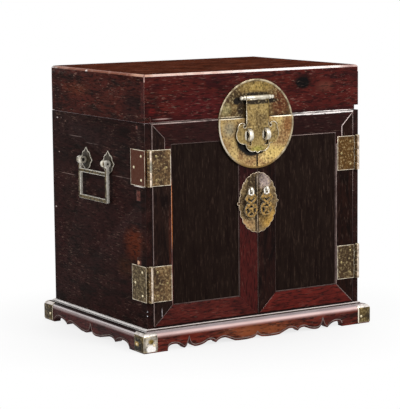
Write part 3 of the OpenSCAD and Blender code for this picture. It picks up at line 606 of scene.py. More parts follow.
class CHEST_OT_case(bpy.types.Operator):
    """Softens the boards of the case and gives them their wood"""

    bl_idname = "chest.case"
    bl_label = "Case Boards"

    def execute(self, context):
        wood = settings().wood
        edge = settings().edges.board
        clouds = on_side(
            LEFT_SIDE, 20,
            (-30, 170, 100, 80, "#2c1413", 0.7),
            (-105, 145, 36, 30, "#562513", 1.1),
            (-80, 110, 30, 20, "#3e2314", 0.7),
            (120, 150, 30, 130, "#2a1110", 0.8),
            (-130, 100, 12, 70, "#1a1312", 1.2),
            (40, 290, 120, 20, "#2a1a19", 0.8),
        )
        cracks = on_side(
            LEFT_SIDE, 2,
            (120.5, 306, 3, 1.3, "#b8aaa4", 2),
            (108.5, 306.7, 2, 1, "#96847e", 2),
            (116.7, 255.5, 2, 1, "#a89088", 2),
            (130, 172.3, 3, 1.4, "#b8a8a2", 2),
            (88, 225.4, 28, 0.5, "#7d6a64", 2),
            (-70, 236.2, 34, 0.5, "#7d6a64", 2),
            (60, 283, 30, 0.5, "#6f605c", 2),
            (15, 276, 22, 0.5, "#6f605c", 2),
            (-121, 227.9, 17, 0.7, "#e8e0da", 3),
        )
        nicks = on_side(
            LEFT_SIDE, 3,
            (-138.9, 55.5, 2.2, 0.8, "#e8ecf2", 3),
            (-138.8, 49.5, 2.2, 0.8, "#e8ecf2", 3),
        )
        side = rosewood(
            "waxed rosewood, side board", wood.dark, "#170e0c", "Y", (0.3, 0.1, 0.2),
            patches=clouds + cracks + nicks,
        )
        # A pale line along the side board's top arris: worn edge and painted highlight.
        pale_top = on_side(LEFT_SIDE, 50, (0, 315.5, 300, 2.2, "#a8989a", 3))
        dark_front = on_side(LEFT_SIDE, 4, (-HALF_DEPTH, 170, 3, 142, "#1d1413", 3))
        arris = worn_edge("worn arris, side board", "#3a2522", 0.25, "#a08c86", pale_top + dark_front)
        for name in SIDES:
            soften("side_board_" + name, "case", edge, [side, arris])
        back = rosewood("waxed rosewood, back board", wood.dark, "#170e0c", "X", (0.9, 0, 0.4), 0.2)
        soften("back_board", "case", edge, [back, arris])
        inner = plain_wood("planed camphor wood, inside", wood.inner, "X")
        for node in ("bottom_board", "tray_floor", "drawer_shelves", "drawer_uprights"):
            soften(node, "case", edge * 0.7, [inner])
        worn_end = on_side(
            LEFT_SIDE, 2,
            (-116, 127.5, 12, 4.5, "#35180f", 3),
            (-115.5, 121.5, 4.5, 3.2, "#dcae8c", 3),
        )
        tenon = rosewood(
            "rosewood end grain, tenons", "#70433a", "#40201c", "X", (0.2, 0.7, 0.1),
            gloss=0.04, patches=worn_end,
        )
        for node in ("tray_front", "drawer_rails"):
            soften(node, "case", edge * 0.5, [tenon])
        return {"FINISHED"}


class CHEST_OT_plinth(bpy.types.Operator):
    """Softens the plinth's mouldings and lays the carved bead along each apron"""

    bl_idname = "chest.plinth"
    bl_label = "Plinth"

    def execute(self, context):
        edge = settings().edges.board
        # Dark lines along the arris of the mouldings: dirt and painted shade in the grooves.
        dirt = (
            on_front(0, 1000, (0, 28.9, 1000, 1.5, "#2c201f", 4))
            + on_side(-188, 12, (0, 27.1, 140, 1.8, "#1c1211", 4))
            + on_side(188, 12, (0, 27.1, 140, 1.8, "#1c1211", 4))
        )
        arris = worn_edge("worn arris, plinth", "#8a6a66", 0.9, "#d8c6c0", dirt)
        tones = on_front(
            -150, 30,
            (-2, 12, 85, 14, "#8a4c2c", 0.85),
            (-120, 16, 30, 10, "#74281a", 0.9),
            (140, 12, 50, 12, "#421a15", 0.9),
        )
        # Pale bands are painted highlights on the bead, fillet and shoulder, partly rubbed wax; dark bands are
        # painted shade lines between them.
        front_bands = (
            (19.2, "#b08a80", 0), (21.2, "#c79f98", 0.4), (22.6, "#cba6a2", 0.85), (23.4, "#dcbfbb", 1),
            (25.2, "#dcbfbb", 1), (26.2, "#b5a3a4", 1), (27.2, "#a89b9c", 1), (28.1, "#cabdbd", 1),
            (28.6, "#33261f", 1), (29.9, "#33261f", 1), (30.3, "#e4d8d3", 1), (31, "#e4d8d3", 1),
        )
        side_bands = (
            (18.6, "#8a7472", 0), (20, "#8f7b7a", 0.5), (21.4, "#a08d8c", 0.95), (22.4, "#a39493", 1),
            (23, "#857878", 1), (23.6, "#cfc5c5", 1), (25.2, "#d6cccc", 1), (25.7, "#2c2020", 1),
            (28.2, "#1c1211", 1), (28.7, "#f4efec", 1), (31, "#f4efec", 1),
        )
        front = rosewood(
            "waxed rosewood, front plinth", "#60251c", "#321310", "X", (0.1, 0.3, 0.5),
            0.35, 0.4, 0.05, tones, front_bands,
        )
        sides = rosewood(
            "waxed rosewood, side plinth", "#451614", "#280f0e", "Y", (0.4, 0.2, 0.1),
            0.35, 0.4, 0.05, bands=side_bands,
        )
        groove = plain_wood("dirt and painted shade in the plinth's groove", "#120c0c", "X")
        near, far = 2.7 * MM, 3.95 * MM
        low, high = 26 * MM, 30 * MM

        def lining(polygon):
            """Number of the near-black finish, dirt and painted shade, for the faces that line the groove, else
            of the wood.
            """
            at = polygon.center
            out = max(abs(at.x) - HALF_WIDTH * MM, abs(at.y) - HALF_DEPTH * MM)
            return 1 if near < out < far and low < at.z < high else 0

        for node, timber in (("plinth_front", front), ("plinth_back", front), ("plinth_sides", sides)):
            soften(node, "case", edge * 0.45, [timber, groove, arris], lining, sharp=50)
        rubbed = worn_edge("worn carved bead", "#33201d", 0.6, "#a3928c")
        for name, node, axis, sign in (
            ("front", "plinth_front", 1, -1),
            ("back", "plinth_back", 1, 1),
            ("left", "plinth_sides", 0, -1),
            ("right", "plinth_sides", 0, 1),
        ):
            bead = self.apron_bead("apron_bead_" + name, node, axis, sign)
            finish_piece(bead, "case", [rubbed], smooth=60)
        return {"FINISHED"}

    def apron_bead(self, name, node, axis, sign):
        """A half-round bead that follows the scallops on one outer face of the plinth."""
        edges = settings().edges
        low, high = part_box(node)
        face = high[axis] if sign > 0 else low[axis]
        along = 1 - axis
        lowest, highest = 0.1 * MM, low[2] + 16 * MM
        line = sorted(
            {
                (round(v.co[along], 5), round(v.co[2], 5))
                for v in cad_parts[node].data.vertices
                if abs(v.co[axis] - face) < ON_PLANE and lowest < v.co[2] < highest
            }
        )
        curve = bpy.data.curves.new(name, "CURVE")
        curve.dimensions = "3D"
        curve.use_fill_caps = True
        spline = curve.splines.new("POLY")
        spline.points.add(len(line) - 1)
        for point, (where, up) in zip(spline.points, line):
            place = [0, 0, up + edges.apron_rise]
            place[axis] = face
            place[along] = where
            point.co = (*place, 1)
        return thicken(new_object(name, curve), edges.apron_bead)


class CHEST_OT_lid(bpy.types.Operator):
    """Softens the lid's boards and gives them their wood"""

    bl_idname = "chest.lid"
    bl_label = "Lid"

    def execute(self, context):
        wood = settings().wood
        edges = settings().edges
        # Pale lines along the lid's lower arris: worn wax and a painted highlight, brighter on the right.
        seam = on_front(
            LID_FRONT, 20,
            (-120, 316.2, 70, 0.9, "#9c8682", 3),
            (117.5, 316.5, 70, 1.4, "#f4ece8", 4),
        )
        front_tones = on_front(
            LID_FRONT, 20,
            (-163, 342, 9, 30, "#301411", 0.9),
            (-168, 331, 7, 6, "#681b1a", 0.9),
            (-90, 335, 60, 30, "#471618", 0.8),
            (20, 366, 100, 6, "#4c1b14", 0.8),
            (135, 335, 50, 20, "#4a1814", 0.9),
            (120, 353, 20, 10, "#683a2e", 0.8),
            (100, 319, 90, 5, "#1e0d0e", 0.9),
            (82, 361, 16.5, 11.8, "#0c0a0a", 2.5),
            (-152, 320.5, 18, 1.2, "#b3958e", 1.4),
        )
        front = rosewood(
            "waxed rosewood, lid front", wood.red, "#2c0f10", "X", (0.6, 0.2, 0.7),
            0.45, 0.45, 0.03, front_tones + seam,
        )
        top = rosewood(
            "waxed rosewood, lid top", "#54291b", "#30170f", "X", (0.2, 0.5, 0.3), 0.5, 0.7, 0
        )
        side_tones = on_side(
            LEFT_SIDE, 20,
            (60, 352, 50, 14, "#55291a", 0.75),
            (-30, 344, 35, 12, "#4c231b", 0.8),
            (-100, 335, 35, 30, "#261211", 1.0),
            (120, 340, 20, 30, "#24110f", 1.0),
            (30, 322, 100, 6, "#341612", 0.8),
        )
        side = rosewood(
            "waxed rosewood, lid side", "#441c16", "#1e0f0c", "Y", (0.7, 0.3, 0.9), 0.6,
            patches=side_tones,
        )
        bottom = on_side(LEFT_SIDE, 4, (0, 316.5, 300, 2, "#8f7c7a", 2))
        corner = on_front(LID_FRONT, 4, (LEFT_SIDE, 345, 4, 36, "#c8a698", 2))
        arris = worn_edge("worn arris, lid", "#6e3c34", 0.7, "#c4a49c", bottom + corner + seam)
        # Painted highlight along the lid's rounded top edge, partly worn wax: pale and bright on the front,
        # duller and more orange on the side.
        glow = (
            on_side(LEFT_SIDE, 20, (0, 380, 220, 20, "#7d4630", 1.5))
            + on_side(LEFT_SIDE, 4, (28, 378.6, 4, 3, "#f0e0d8", 3))
            + on_side(LEFT_SIDE, 20, (-125, 380, 30, 20, "#c89880", 1.2), (133, 380, 12, 20, "#8f817c", 1.0))
            + on_side(LEFT_SIDE, 4, (132.5, 378.5, 4, 2.2, "#d8ceca", 3), (122, 378.5, 5, 1.8, "#c8bcb6", 2))
            + on_front(LID_FRONT, 20, (60, 380, 130, 20, "#f2eae6", 1.4), (165, 380, 20, 20, "#a2827c", 1.2))
        )
        band = worn_edge("worn round edge with painted highlight, lid top", "#c08f7e", 0.75, "#e9d2c6", glow)
        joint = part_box("lid_top")[0][2]
        walls = (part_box("lid_front")[1][1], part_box("lid_back")[0][1])
        level, rounded, ahead = 0.97, 0.25, -0.5

        def face_of_top(polygon):
            """Number of the wood, painted highlight band, front or side finish for a face of the top board."""
            out = polygon.normal
            if out.z > level:
                return 0
            if out.z > rounded:
                return 1
            return 2 if out.y < ahead else 3

        def glued(middle):
            """True on the joints between the lid's top and its four walls."""
            return abs(middle.z - joint) < ON_JOINT or any(abs(middle.y - wall) < ON_JOINT for wall in walls)

        soften(
            "lid_top", "lid", edges.lid, [top, band, front, side, arris],
            face_of_top, closed=glued,
        )
        soften("lid_front", "lid", edges.board, [front, arris], closed=glued)
        soften("lid_back", "lid", edges.board, [side, arris], closed=glued)
        soften("lid_sides", "lid", edges.board, [side, arris], closed=glued)
        return {"FINISHED"}


class CHEST_OT_doors(bpy.types.Operator):
    """Softens the doors' frames, gives them their wood and lays a bead round each panel"""

    bl_idname = "chest.doors"
    bl_label = "Doors"

    def execute(self, context):
        edge = settings().edges.board
        # Pale lines along the doors' top arris are worn wax and a painted highlight, brighter on the right; the
        # dark band at the doors' foot is a painted shadow above the plinth.
        ends = on_front(
            DOOR_FRONT, 50,
            (-118, 314.9, 75, 1.4, "#a8948e", 3),
            (117.5, 314.7, 75, 1.7, "#f4ece8", 4),
            (0, 31.2, 500, 3.4, "#1a0c0b", 4),
        )
        lines = on_front(
            DOOR_FRONT, 50,
            (154, 298, 20, 22, "#e4d0ca", 2),
            (18, 47, 18, 18, "#e0c8c0", 2),
            (-14, 52, 17, 22, "#45191a", 3),
            (-171.6, 170, 2.2, 190, "#332a2e", 4),
            (171.2, 100, 3, 150, "#2a2022", 4),
            (174.5, 197.7, 6, 2, "#c8b8b0", 3),
        )
        arris = worn_edge("worn arris, door", "#46302d", 0.6, "#a8948e", ends + lines)
        red_foot = on_front(DOOR_FRONT, 30, (-14, 80, 50, 150, "#431917", 1.6))
        warm_line = on_front(
            DOOR_FRONT, 30,
            (-142, 150, 4, 60, "#47231a", 0.9),
            (-157, 52, 0.6, 8, "#b8aeb0", 2),
        )
        # Base, streaks and patches of each stile, and base, streaks and upper tone of the rails
        stiles = {
            "left": {
                "hinge_stile": ("#231612", "#130c0b", warm_line),
                "meeting_stile": ("#2f1415", "#1a0c0d", red_foot),
            },
            "right": {
                "hinge_stile": ("#20110d", "#100a08", ()),
                "meeting_stile": ("#231310", "#120b0a", ()),
            },
        }
        rails = {"left": ("#4e1e19", "#381413", "#291413"), "right": ("#561c17", "#3c1311", "#241110")}
        places = {"left": (0.15, 0.4, 0.2), "right": (0.5, 0.1, 0.8)}
        for side in SIDES:
            body = "door_" + side
            for part, (base, streak, patches) in stiles[side].items():
                timber = rosewood(
                    f"waxed rosewood, {side} {part}", base, streak, "Z", places[side],
                    flecks=0.18, patches=patches + ends,
                )
                soften(f"{body}_{part}", body, edge, [timber, arris])
            base, streak, upper = rails[side]
            dark_top = on_front(DOOR_FRONT, 30, (0, 300, 300, 50, upper, 2))
            timber = rosewood(
                f"waxed rosewood, {side} rails", base, streak, "X", places[side],
                0.2, 0.45, 0.03, dark_top + ends,
            )
            soften(f"{body}_rails", body, edge, [timber, arris])
            panel = panel_wood(f"dark panel, {side}", places[side])
            soften(f"{body}_panel", body, edge * 0.5, [panel])
            self.add_bead(side, body)
        return {"FINISHED"}

    def add_bead(self, side, body):
        """The thin bead that covers the joint between a panel and its frame."""
        width = settings().edges.bead
        tongue = 4 * MM
        low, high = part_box(body + "_panel")
        bead = bead_round(
            "panel_bead_" + side,
            Vector((low[0] + tongue, low[1], low[2] + tongue)),
            Vector((high[0] - tongue, low[1], high[2] - tongue)),
            width,
            width * 0.7,
        )
        marks = on_front(
            -137, 20,
            (-139, 100, 4, 60, "#5c1f1a", 1.4),
            (-139, 222, 4, 20, "#70423a", 1.4),
            # The orange line on the left door's bead is a painted highlight.
            (-139, 187, 4, 50, "#c06c30", 3),
            (100, 285, 70, 3, "#a08a84", 1.4),
        )
        finish = worn_edge("rubbed bead, " + side, "#2e1c1a", 0.45, "#7a6762", marks)
        finish_piece(bead, body, [finish], smooth=40)


class CHEST_OT_sheet_brass(bpy.types.Operator):
    """Rounds the edges of the sheet brass plates and gives them their patina"""

    bl_idname = "chest.sheet_brass"
    bl_label = "Sheet Brass"

    def execute(self, context):
        brass = settings().brass
        edge = settings().edges.sheet
        rim = rubbed_brass("rubbed rim of sheet brass", brass.rim, brass.brown, 0.3)
        dull_rim = rubbed_brass("rubbed rim of the hinges", brass.rim, brass.brown, 0.75, 10)
        plate_rim = rubbed_brass(
            "rubbed rim of the lock plate", "#b4a68a", "#5a472c", 0.85, 9,
            on_front(
                PLATE_FRONT, 20,
                (0, 238, 60, 35, "#7d6238", 1.8),
                (-55, 285, 20, 30, "#c8c0b0", 1.2),
            ),
        )
        pull_rim = rubbed_brass(
            "rubbed rim of the pull plates", "#ccbba6", brass.brown, 0.8, 4.5,
            on_front(PLATE_FRONT, 20, (2.9, 194, 1, 50, "#43331f", 4)),
        )
        # The knuckles' faces that look forward get a near-white finish: a painted reflection.
        knuckles = rubbed_brass(
            "painted reflection on the hinge knuckles", "#e2d0bc", "#5a4630", 0.7, 8,
            on_front(-143, 6, (-175, 257, 6, 9.5, "#8f8a7c", 2)),
        )
        upper = sheet_brass(
            "patinated sheet brass, upper lock plate", "#7b6239", "#4c361d",
            patches=on_front(
                PLATE_FRONT, 20,
                (0, 358, 35, 10, "#a58a4c", 1.2),
                (42, 333, 18, 26, "#5c3016", 1.8),
                (-36, 345, 14, 12, "#3a2c18", 1.1),
                # Painted shade above the hasp's bar, a painted shadow below it, and painted shade left of the
                # hasp's neck under the bar's left end.
                (0, 347.5, 34, 4, "#2e2417", 1.4),
                (2, 337.5, 42, 6, "#1c140c", 2.8),
                (-25, 326, 7, 12, "#2c1f12", 2),
                (-31, 339, 7, 6, "#17100a", 3),
                (-50, 328, 12, 12, "#8d8056", 1.4),
                # Pale line along the plate's lower edge: worn edge and painted highlight.
                (-45, 317.2, 25, 0.9, "#d8c8ac", 2),
            ),
        )
        lower = sheet_brass(
            "patinated sheet brass, lower lock plates", brass.gold, "#84643e", place=(0.1, 0, 0.3),
            patches=on_front(
                PLATE_FRONT, 20,
                (53, 302, 12, 18, "#7a4e28", 1.2),
                (-45, 300, 14, 14, "#8b8572", 0.9),
                (30, 262, 24, 16, "#b59c5c", 1.1),
                # Painted shadow of the hasp: a dark crescent below and left of it, under a gold patch that the
                # hasp hides.
                (-6, 283, 33, 28, "#3c2a14", 2.6),
                (-6.5, 282.8, 27.8, 23.7, "#080402", 8),
                (-1, 288.5, 22.5, 17.5, "#8c744a", 8),
                # Pale lines along the plates' top edges: painted highlights, brighter on the right.
                (-45, 314.7, 25, 1.1, "#e0d4bc", 3),
                (45, 314.7, 22, 1.1, "#f0e6d0", 3),
                (0.6, 254, 1.4, 12, "#241a10", 3),
            ),
        )
        hasp = sheet_brass(
            "patinated sheet brass, hasp", "#9c8450", "#6a5632", 3, (0.3, 0, 0),
            on_front(
                PLATE_FRONT, 20,
                # Painted shade under the hasp's roll.
                (0, 336.8, 30, 4, "#2b2115", 2.5),
                (0, 270, 14, 7, "#a49a48", 1.0),
                (-19.5, 290.5, 2.2, 7.5, "#e4dccb", 3),
                (9.5, 290.5, 2.2, 7.5, "#e4dccb", 2),
            ),
        )
        pulls = sheet_brass(
            "patinated sheet brass, pull plates", "#86704c", "#503c28", 3, (0, 0, 0.4),
            on_front(
                PLATE_FRONT, 20,
                (20, 172, 20, 22, "#ae873f", 1.4),
                (-18, 163, 20, 14, "#a8865a", 1.2),
                (12, 226, 15, 16, "#a5938c", 1.8),
                (-9, 222, 12, 20, "#3a2a18", 1.6),
                (-1.5, 194, 1.7, 50, "#130c07", 4),
                # Painted shade on the plate behind the openwork of each pendant.
                (-13, 188, 14, 26, "#2a1e12", 1.4),
                (13.5, 188, 13, 26, "#2a1e12", 1.4),
            ),
        )
        leaves = sheet_brass(
            "speckled sheet brass, hinges", "#705637", "#412d1b", 3, (0.2, 0.2, 0),
            on_front(PLATE_FRONT, 50, (158, 256, 30, 40, "#56380f", 2.0), (158, 96, 30, 40, "#42301a", 2.0))
            + on_side(LEFT_LEAF, 4, (-120, 96, 40, 45, "#4e3e22", 1.6))
            + on_side(LEFT_LEAF, 3, (-118, 257, 45, 50, "#4c1e00", 6)),
        )
        corners = sheet_brass(
            "dark sheet brass, corner mounts", "#5e4d28", "#332815", 3, (0, 0.5, 0),
            # Pale patches on the mounts' fronts are painted reflections and highlights; the dark patch on the
            # left mount's side face is painted shade.
            on_front(MOUNT_FRONT, 4, (-182, 13, 14, 18, "#d8cfc2", 1.2))
            + on_front(MOUNT_FRONT, 2, (-181.5, 16.5, 6, 5, "#7a6424", 2), (-181.5, 5.5, 8.5, 6.2, "#f6f2ee", 4))
            + on_side(MOUNT_SIDE, 2, (-133, 10.5, 16, 12, "#1c150b", 2.6), (-131, 11.5, 6, 3.6, "#a88a48", 4))
            + on_front(MOUNT_FRONT, 3, (172, 14, 1.4, 20, "#e6dccb", 3)),
        )
        bright_top = rubbed_brass("painted reflection on the top of a corner mount", "#dcd4ce", "#4c4232", 0.5)
        roll = rubbed_brass("bright roll of the hasp", "#cfc8b8", "#7c7052", 0.6, 10)
        worn_lip = rubbed_brass(
            "worn edge of the hasp", "#f0e8d6", "#6a5632", 0.8, 8,
            on_front(
                PLATE_FRONT, 20,
                (16.5, 325, 6, 24, "#7c6638", 3),
                (27, 288, 11, 16, "#8a7444", 2),
                (-15.5, 332, 4, 14, "#7c6638", 3),
            ),
        )
        lip = self.outline_bead("hasp_edge_bead", "hasp")
        finish_piece(lip, "hasp", [worn_lip], smooth=60)
        soften("lock_plate_lid", "lid", edge, [upper, plate_rim], self.raised)
        soften(
            "hasp", "hasp", edge * 3.2, [hasp, roll, rim], self.rolled,
            closed=self.back_edge,
        )
        wide = (settings().edges.border * 0.7, self.outer, 0)
        narrow = (settings().edges.border * 0.6, self.outer, 0)
        hinge = [leaves, knuckles, dull_rim]
        soften("lid_hinge_leaves", "lid", edge, [leaves, dull_rim], ring=wide)
        soften("case_hinge_leaves", "case", edge, hinge, self.knuckle, wide)
        soften("plinth_corner_mounts", "case", edge, [corners, bright_top, rim], self.upward)
        for side in SIDES:
            body = "door_" + side
            soften(body + "_lock_plate", body, edge, [lower, plate_rim], self.raised)
            soften(body + "_pull_plate", body, edge, [pulls, pull_rim], ring=narrow)
            soften(body + "_hinge_leaves", body, edge, hinge, self.knuckle, wide)
        return {"FINISHED"}

    @staticmethod
    def outer(polygon):
        """True for the wide faces of a plate that look away from the wood."""
        at = polygon.center
        out = polygon.normal
        ahead = out.y < -FACING and at.y < -140.4 * MM
        aside = abs(out.x) > FACING and 181.1 * MM < abs(at.x) < 181.3 * MM
        behind = out.y > FACING and at.y > 138.4 * MM
        return polygon.area > WIDE_FACE and (ahead or aside or behind)

    @staticmethod
    def raised(polygon):
        """Number of the rim for the lock plate's raised border, else of the sheet."""
        middle_height, inner_radius = 306 * MM, 60.1 * MM
        corners = [polygon.id_data.vertices[number].co for number in polygon.vertices]
        spread = min(math.hypot(corner.x, corner.z - middle_height) for corner in corners)
        return 1 if spread > inner_radius and polygon.normal.y < -FACING else 0

    @staticmethod
    def rolled(polygon):
        """Number of the bright roll for the hasp's eye, else of the sheet."""
        return 1 if polygon.center.z > 338.8 * MM and abs(polygon.normal.x) < FACING else 0

    @staticmethod
    def back_edge(middle):
        """True on the edges of the hasp that lie against the plates and stay sharp."""
        return middle.y > -143.1 * MM and middle.z < 336 * MM

    @staticmethod
    def knuckle(polygon):
        """Number of the bright finish, a painted reflection, for the fronts of a hinge's knuckles, else of the
        sheet.
        """
        at = polygon.center
        ahead = polygon.normal.y < -0.85 and polygon.normal.x > -0.35
        return 1 if ahead and 171.6 * MM < abs(at.x) < 178.9 * MM and at.y < -141.2 * MM else 0

    @staticmethod
    def upward(polygon):
        """Number of the pale finish, a painted reflection, for the upper faces of a corner mount, else of its
        sides.
        """
        return 1 if polygon.normal.z > 0.35 else 0

    def outline_bead(self, name, node):
        """A thin half-sunk bead along the outline of the hasp's front, apart from its two slots."""
        face = -144 * MM
        corner = 0.7
        mesh = bmesh.new()
        mesh.from_mesh(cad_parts[node].data)
        bmesh.ops.remove_doubles(mesh, verts=mesh.verts, dist=MERGE)
        mesh.normal_update()
        others = []
        for edge in mesh.edges:
            middle = middle_of(edge)
            flat = all(abs(end.co.y - face) < ON_PLANE for end in edge.verts)
            slot = 9.5 * MM < abs(middle.x) < 19.5 * MM and 275.5 * MM < middle.z < 305 * MM
            if slot or not flat or edge.calc_face_angle(0) <= corner:
                others.append(edge)
        bmesh.ops.delete(mesh, geom=others, context="EDGES_FACES")
        data = bpy.data.meshes.new(name)
        mesh.to_mesh(data)
        mesh.free()
        new_object(name, data)
        bpy.ops.object.convert(target="CURVE")
        return thicken(bpy.context.active_object, settings().edges.hasp_bead)


class CHEST_OT_cast_brass(bpy.types.Operator):
    """Rounds the cast brass of the bails, their mounts, pendants, loops and bar, and gives pins, nails and
    drawer pulls their finish
    """

    bl_idname = "chest.cast_brass"
    bl_label = "Cast Brass"

    def execute(self, context):
        brass = settings().brass
        edge = settings().edges.cast
        # The pendants' rings are near white, rubbed metal with a painted highlight; their holes and the eyes of
        # the bails' posts are dark with painted shade.
        worn = "#f6f1e8"
        hollow = "#1c150d"
        hollows = tuple(
            ((x, y, 252), (2.7, 4, 2.7), hollow, 4) for x in (-186.8, 186.8) for y in (-41.8, 27.6)
        )
        discs = on_front(
            PENDANT_FRONT, 6,
            (-13, 211.2, 6.5, 6.5, worn, 4),
            (13, 211.2, 6.5, 6.5, worn, 4),
            (-14.5, 212.5, 1.3, 1.3, hollow, 4),
            (11.5, 212.5, 1.3, 1.3, hollow, 4),
        )
        silver = rubbed_brass("rubbed cast brass", brass.silver, brass.olive, 0.55, patches=hollows)
        bright = rubbed_brass("rubbed pendant brass", brass.silver, brass.olive, 0.4, patches=discs)
        olive = rubbed_brass("dull cast brass with painted shade", "#5e4e28", "#120d07", 0.95, 5, hollows)
        white = rubbed_brass("bright bars of the bails with painted highlight", "#fbf6ea", brass.olive, 0.5, 7, hollows, 0.35)
        dark = rubbed_brass("dark cast brass", "#3a2f1c", "#120e08", 0.85, 4)
        openwork = rubbed_brass("openwork brass", "#ac884c", "#1c140c", 0.95, 3.2, discs)
        nail = rubbed_brass("bright brass nails", "#dccfae", brass.brown, 0.3, 3)
        door_nail = rubbed_brass("patinated brass nails", "#9a8a60", brass.brown, 0.6, 3)
        soften("hasp_bar", "lid", edge * 0.4, [silver, silver])
        soften(
            "bail_mounts", "case", edge * 0.5, [silver, dark, silver], self.plate,
            (edge * 1.1, self.plate_front, 1),
        )
        for side in SIDES:
            bail = "bail_" + side
            door = "door_" + side
            pendant = "pendant_" + side
            # The bails' side-facing faces get painted shade and their other faces a painted highlight.
            soften(bail, bail, edge * 0.6, [white, olive, white], self.outward)
            soften(
                pendant, pendant, edge * 0.75, [bright, openwork, bright], self.front_face
            )
            # The walls of the loops' holes get the dark finish as painted shade.
            soften(door + "_loops", door, edge * 0.6, [silver, dark, silver], self.inside)
            for row in ROWS:
                self.paint(f"drawer_pull_{side}_{row}", silver)
            self.paint(f"door_{side}_nails", door_nail)
        for node in ("hinge_pins", "case_nails", "lid_nails"):
            self.paint(node, nail)
        return {"FINISHED"}

    @staticmethod
    def outward(polygon):
        """Number of the dull finish, painted shade, for the faces that look out from a side, else of the bright
        one, a painted highlight.
        """
        return 1 if abs(polygon.normal.x) > 0.8 else 0

    @staticmethod
    def plate(polygon):
        """Number of the dark finish for a back plate's face, else of the bright one."""
        return 1 if abs(polygon.center.x) < 181.3 * MM and abs(polygon.normal.x) > 0.8 else 0

    @staticmethod
    def plate_front(polygon):
        """True for the outer face of a bail's back plate."""
        out = abs(polygon.normal.x) > FACING and polygon.area > WIDE_FACE
        return out and abs(polygon.center.x) < 181.3 * MM

    @staticmethod
    def inside(polygon):
        """Number of the dark finish, painted shade, for the wall of a lock loop's hole, else of the bright one.
        """
        at = polygon.center
        spread = math.hypot(at.y + 143 * MM, at.z - 290.5 * MM)
        return 1 if abs(polygon.normal.x) < 0.5 and spread < 6.2 * MM else 0

    @staticmethod
    def front_face(polygon):
        """Number of the gold finish for the face of a pendant, else of the bright one."""
        return 1 if abs(polygon.normal.y) > 0.8 else 0

    def paint(self, node, material):
        """Gives a CAD node a finish in place of its plain one."""
        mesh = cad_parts[node].data
        mesh.materials.clear()
        mesh.materials.append(material)


class CHEST_OT_drawers(bpy.types.Operator):
    """Softens the drawers' boards and gives them their wood"""

    bl_idname = "chest.drawers"
    bl_label = "Drawers"

    def execute(self, context):
        wood = settings().wood
        edge = settings().edges.board
        for side, shift in zip(SIDES, (0.2, 0.6)):
            for number, row in enumerate(ROWS):
                name = f"drawer_{side}_{row}"
                place = (0.3 * number, shift, 0.1)
                timber = plain_wood("rubbed drawer wood, " + name, wood.drawer, "X", place)
                soften(name, name, edge, [timber])
        return {"FINISHED"}


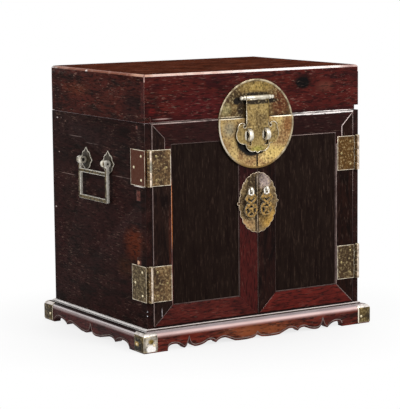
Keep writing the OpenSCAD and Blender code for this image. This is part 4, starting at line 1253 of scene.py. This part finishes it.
class CHEST_OT_stage(bpy.types.Operator):
    """Sets up the floor, the light from all round, three soft lamps and the camera"""

    bl_idname = "chest.stage"
    bl_label = "Stage"

    def execute(self, context):
        stage = settings().stage
        self.floor(stage)
        self.world(stage)
        self.lamp("key_lamp", (0.5, -2.0, 1.5), (0, 0, 0.2), 0.7, stage.key)
        self.lamp("fill_lamp", (-2.0, 0.1, 0.8), (0, 0, 0.2), 1.0, stage.fill)
        self.lamp("top_lamp", (0.7, 1.1, 1.9), (0, 0, 0.3), 1.2, stage.top)
        self.camera(stage)
        context.scene.view_settings.view_transform = "Standard"
        return {"FINISHED"}

    def floor(self, stage):
        """A pale floor that keeps the shadow near the chest and is plain white further away."""
        deselect()
        bpy.ops.mesh.primitive_plane_add(size=16, location=(0, 0, 0))
        floor = bpy.context.active_object
        floor.name = "floor"
        material, tree, shader, coords = new_material(
            "plain pale floor",
            {"Base Color": list(stage.floor), "Roughness": 0.9, "Specular IOR Level": 0.1},
        )
        near = spot(tree, coords, (0, 0, 0), (420, 380, 1000), 0.75)
        kept = add_node(tree, "ShaderNodeMapRange", {"Value": near, "To Min": 1, "To Max": 0.72})
        seen = add_node(
            tree,
            "ShaderNodeMath",
            {0: self.seen_rays(tree), 1: kept.outputs["Result"]},
            operation="MULTIPLY",
            use_clamp=True,
        )
        white = add_node(tree, "ShaderNodeEmission", {"Color": (1, 1, 1, 1), "Strength": 1})
        faded = add_node(
            tree,
            "ShaderNodeMixShader",
            {0: seen.outputs[0], 1: shader.outputs["BSDF"], 2: white.outputs[0]},
        )
        out = next(node for node in tree.nodes if node.type == "OUTPUT_MATERIAL")
        tree.links.new(faded.outputs[0], out.inputs["Surface"])
        floor.data.materials.append(material)

    def seen_rays(self, tree):
        """1 for the rays that show the background, 0 for those that carry its light."""
        rays = add_node(tree, "ShaderNodeLightPath").outputs
        seen = add_node(
            tree, "ShaderNodeMath", {0: rays["Is Camera Ray"], 1: rays["Is Glossy Ray"]}, operation="ADD"
        )
        return add_node(
            tree,
            "ShaderNodeMath",
            {0: seen.outputs[0], 1: rays["Is Transmission Ray"]},
            operation="ADD",
            use_clamp=True,
        ).outputs[0]

    def world(self, stage):
        """Even light from all round, seen as plain white."""
        world = bpy.data.worlds.new("soft white room")
        bpy.context.scene.world = world
        world.use_nodes = True
        tree = world.node_tree
        tree.nodes.clear()
        light = add_node(tree, "ShaderNodeBackground", {"Color": (1, 1, 1, 1), "Strength": stage.world})
        white = add_node(tree, "ShaderNodeBackground", {"Color": (1, 1, 1, 1), "Strength": 1})
        mixed = add_node(
            tree, "ShaderNodeMixShader", {0: self.seen_rays(tree), 1: light.outputs[0], 2: white.outputs[0]}
        )
        add_node(tree, "ShaderNodeOutputWorld", {"Surface": mixed.outputs[0]})

    def lamp(self, name, place, target, size, watts):
        """A square soft lamp that looks at a target."""
        data = bpy.data.lights.new(name, "AREA")
        data.shape = "SQUARE"
        data.size = size
        data.energy = watts
        lamp = bpy.data.objects.new(name, data)
        bpy.context.scene.collection.objects.link(lamp)
        lamp.location = place
        lamp.rotation_euler = (Vector(target) - Vector(place)).to_track_quat("-Z", "Y").to_euler()

    def camera(self, stage):
        """The camera at the photograph's place, turned by yaw, pitch and roll."""
        data = bpy.data.cameras.new("photo_camera")
        data.sensor_fit = "HORIZONTAL"
        data.sensor_width = 36
        data.lens = stage.lens
        data.clip_end = 50
        level = math.cos(stage.pitch)
        ahead = Vector(
            (math.sin(stage.yaw) * level, math.cos(stage.yaw) * level, -math.sin(stage.pitch))
        )
        right = Vector((math.cos(stage.yaw), -math.sin(stage.yaw), 0))
        up = right.cross(ahead)
        rolled_right = right * math.cos(stage.roll) + up * math.sin(stage.roll)
        rolled_up = up * math.cos(stage.roll) - right * math.sin(stage.roll)
        turn = Matrix((rolled_right, rolled_up, -ahead)).transposed()
        camera = bpy.data.objects.new("photo_camera", data)
        camera.matrix_world = Matrix.Translation(stage.place) @ turn.to_4x4()
        bpy.context.scene.collection.objects.link(camera)
        bpy.context.scene.camera = camera


class CHEST_PT_panel(bpy.types.Panel):
    """Lists the steps that finish the chest"""

    bl_label = "Seal Chest"
    bl_idname = "CHEST_PT_panel"
    bl_space_type = "VIEW_3D"
    bl_region_type = "UI"
    bl_category = "Chest"

    def draw(self, context):
        for operator in OPERATORS:
            self.layout.operator(operator.bl_idname)


OPERATORS = (
    CHEST_OT_case,
    CHEST_OT_plinth,
    CHEST_OT_lid,
    CHEST_OT_doors,
    CHEST_OT_sheet_brass,
    CHEST_OT_cast_brass,
    CHEST_OT_drawers,
    CHEST_OT_stage,
)
GROUPS = (WoodSettings, BrassSettings, EdgeSettings, StageSettings, ChestSettings)


def register():
    for item in (*GROUPS, *OPERATORS, CHEST_PT_panel):
        bpy.utils.register_class(item)
    bpy.types.Scene.chest = PointerProperty(type=ChestSettings)


def unregister():
    del bpy.types.Scene.chest
    for item in reversed((*GROUPS, *OPERATORS, CHEST_PT_panel)):
        bpy.utils.unregister_class(item)


def main():
    register()
    bpy.ops.chest.case()
    bpy.ops.chest.plinth()
    bpy.ops.chest.lid()
    bpy.ops.chest.doors()
    bpy.ops.chest.sheet_brass()
    bpy.ops.chest.cast_brass()
    bpy.ops.chest.drawers()
    bpy.ops.chest.stage()


if __name__ == "__main__":
    main()
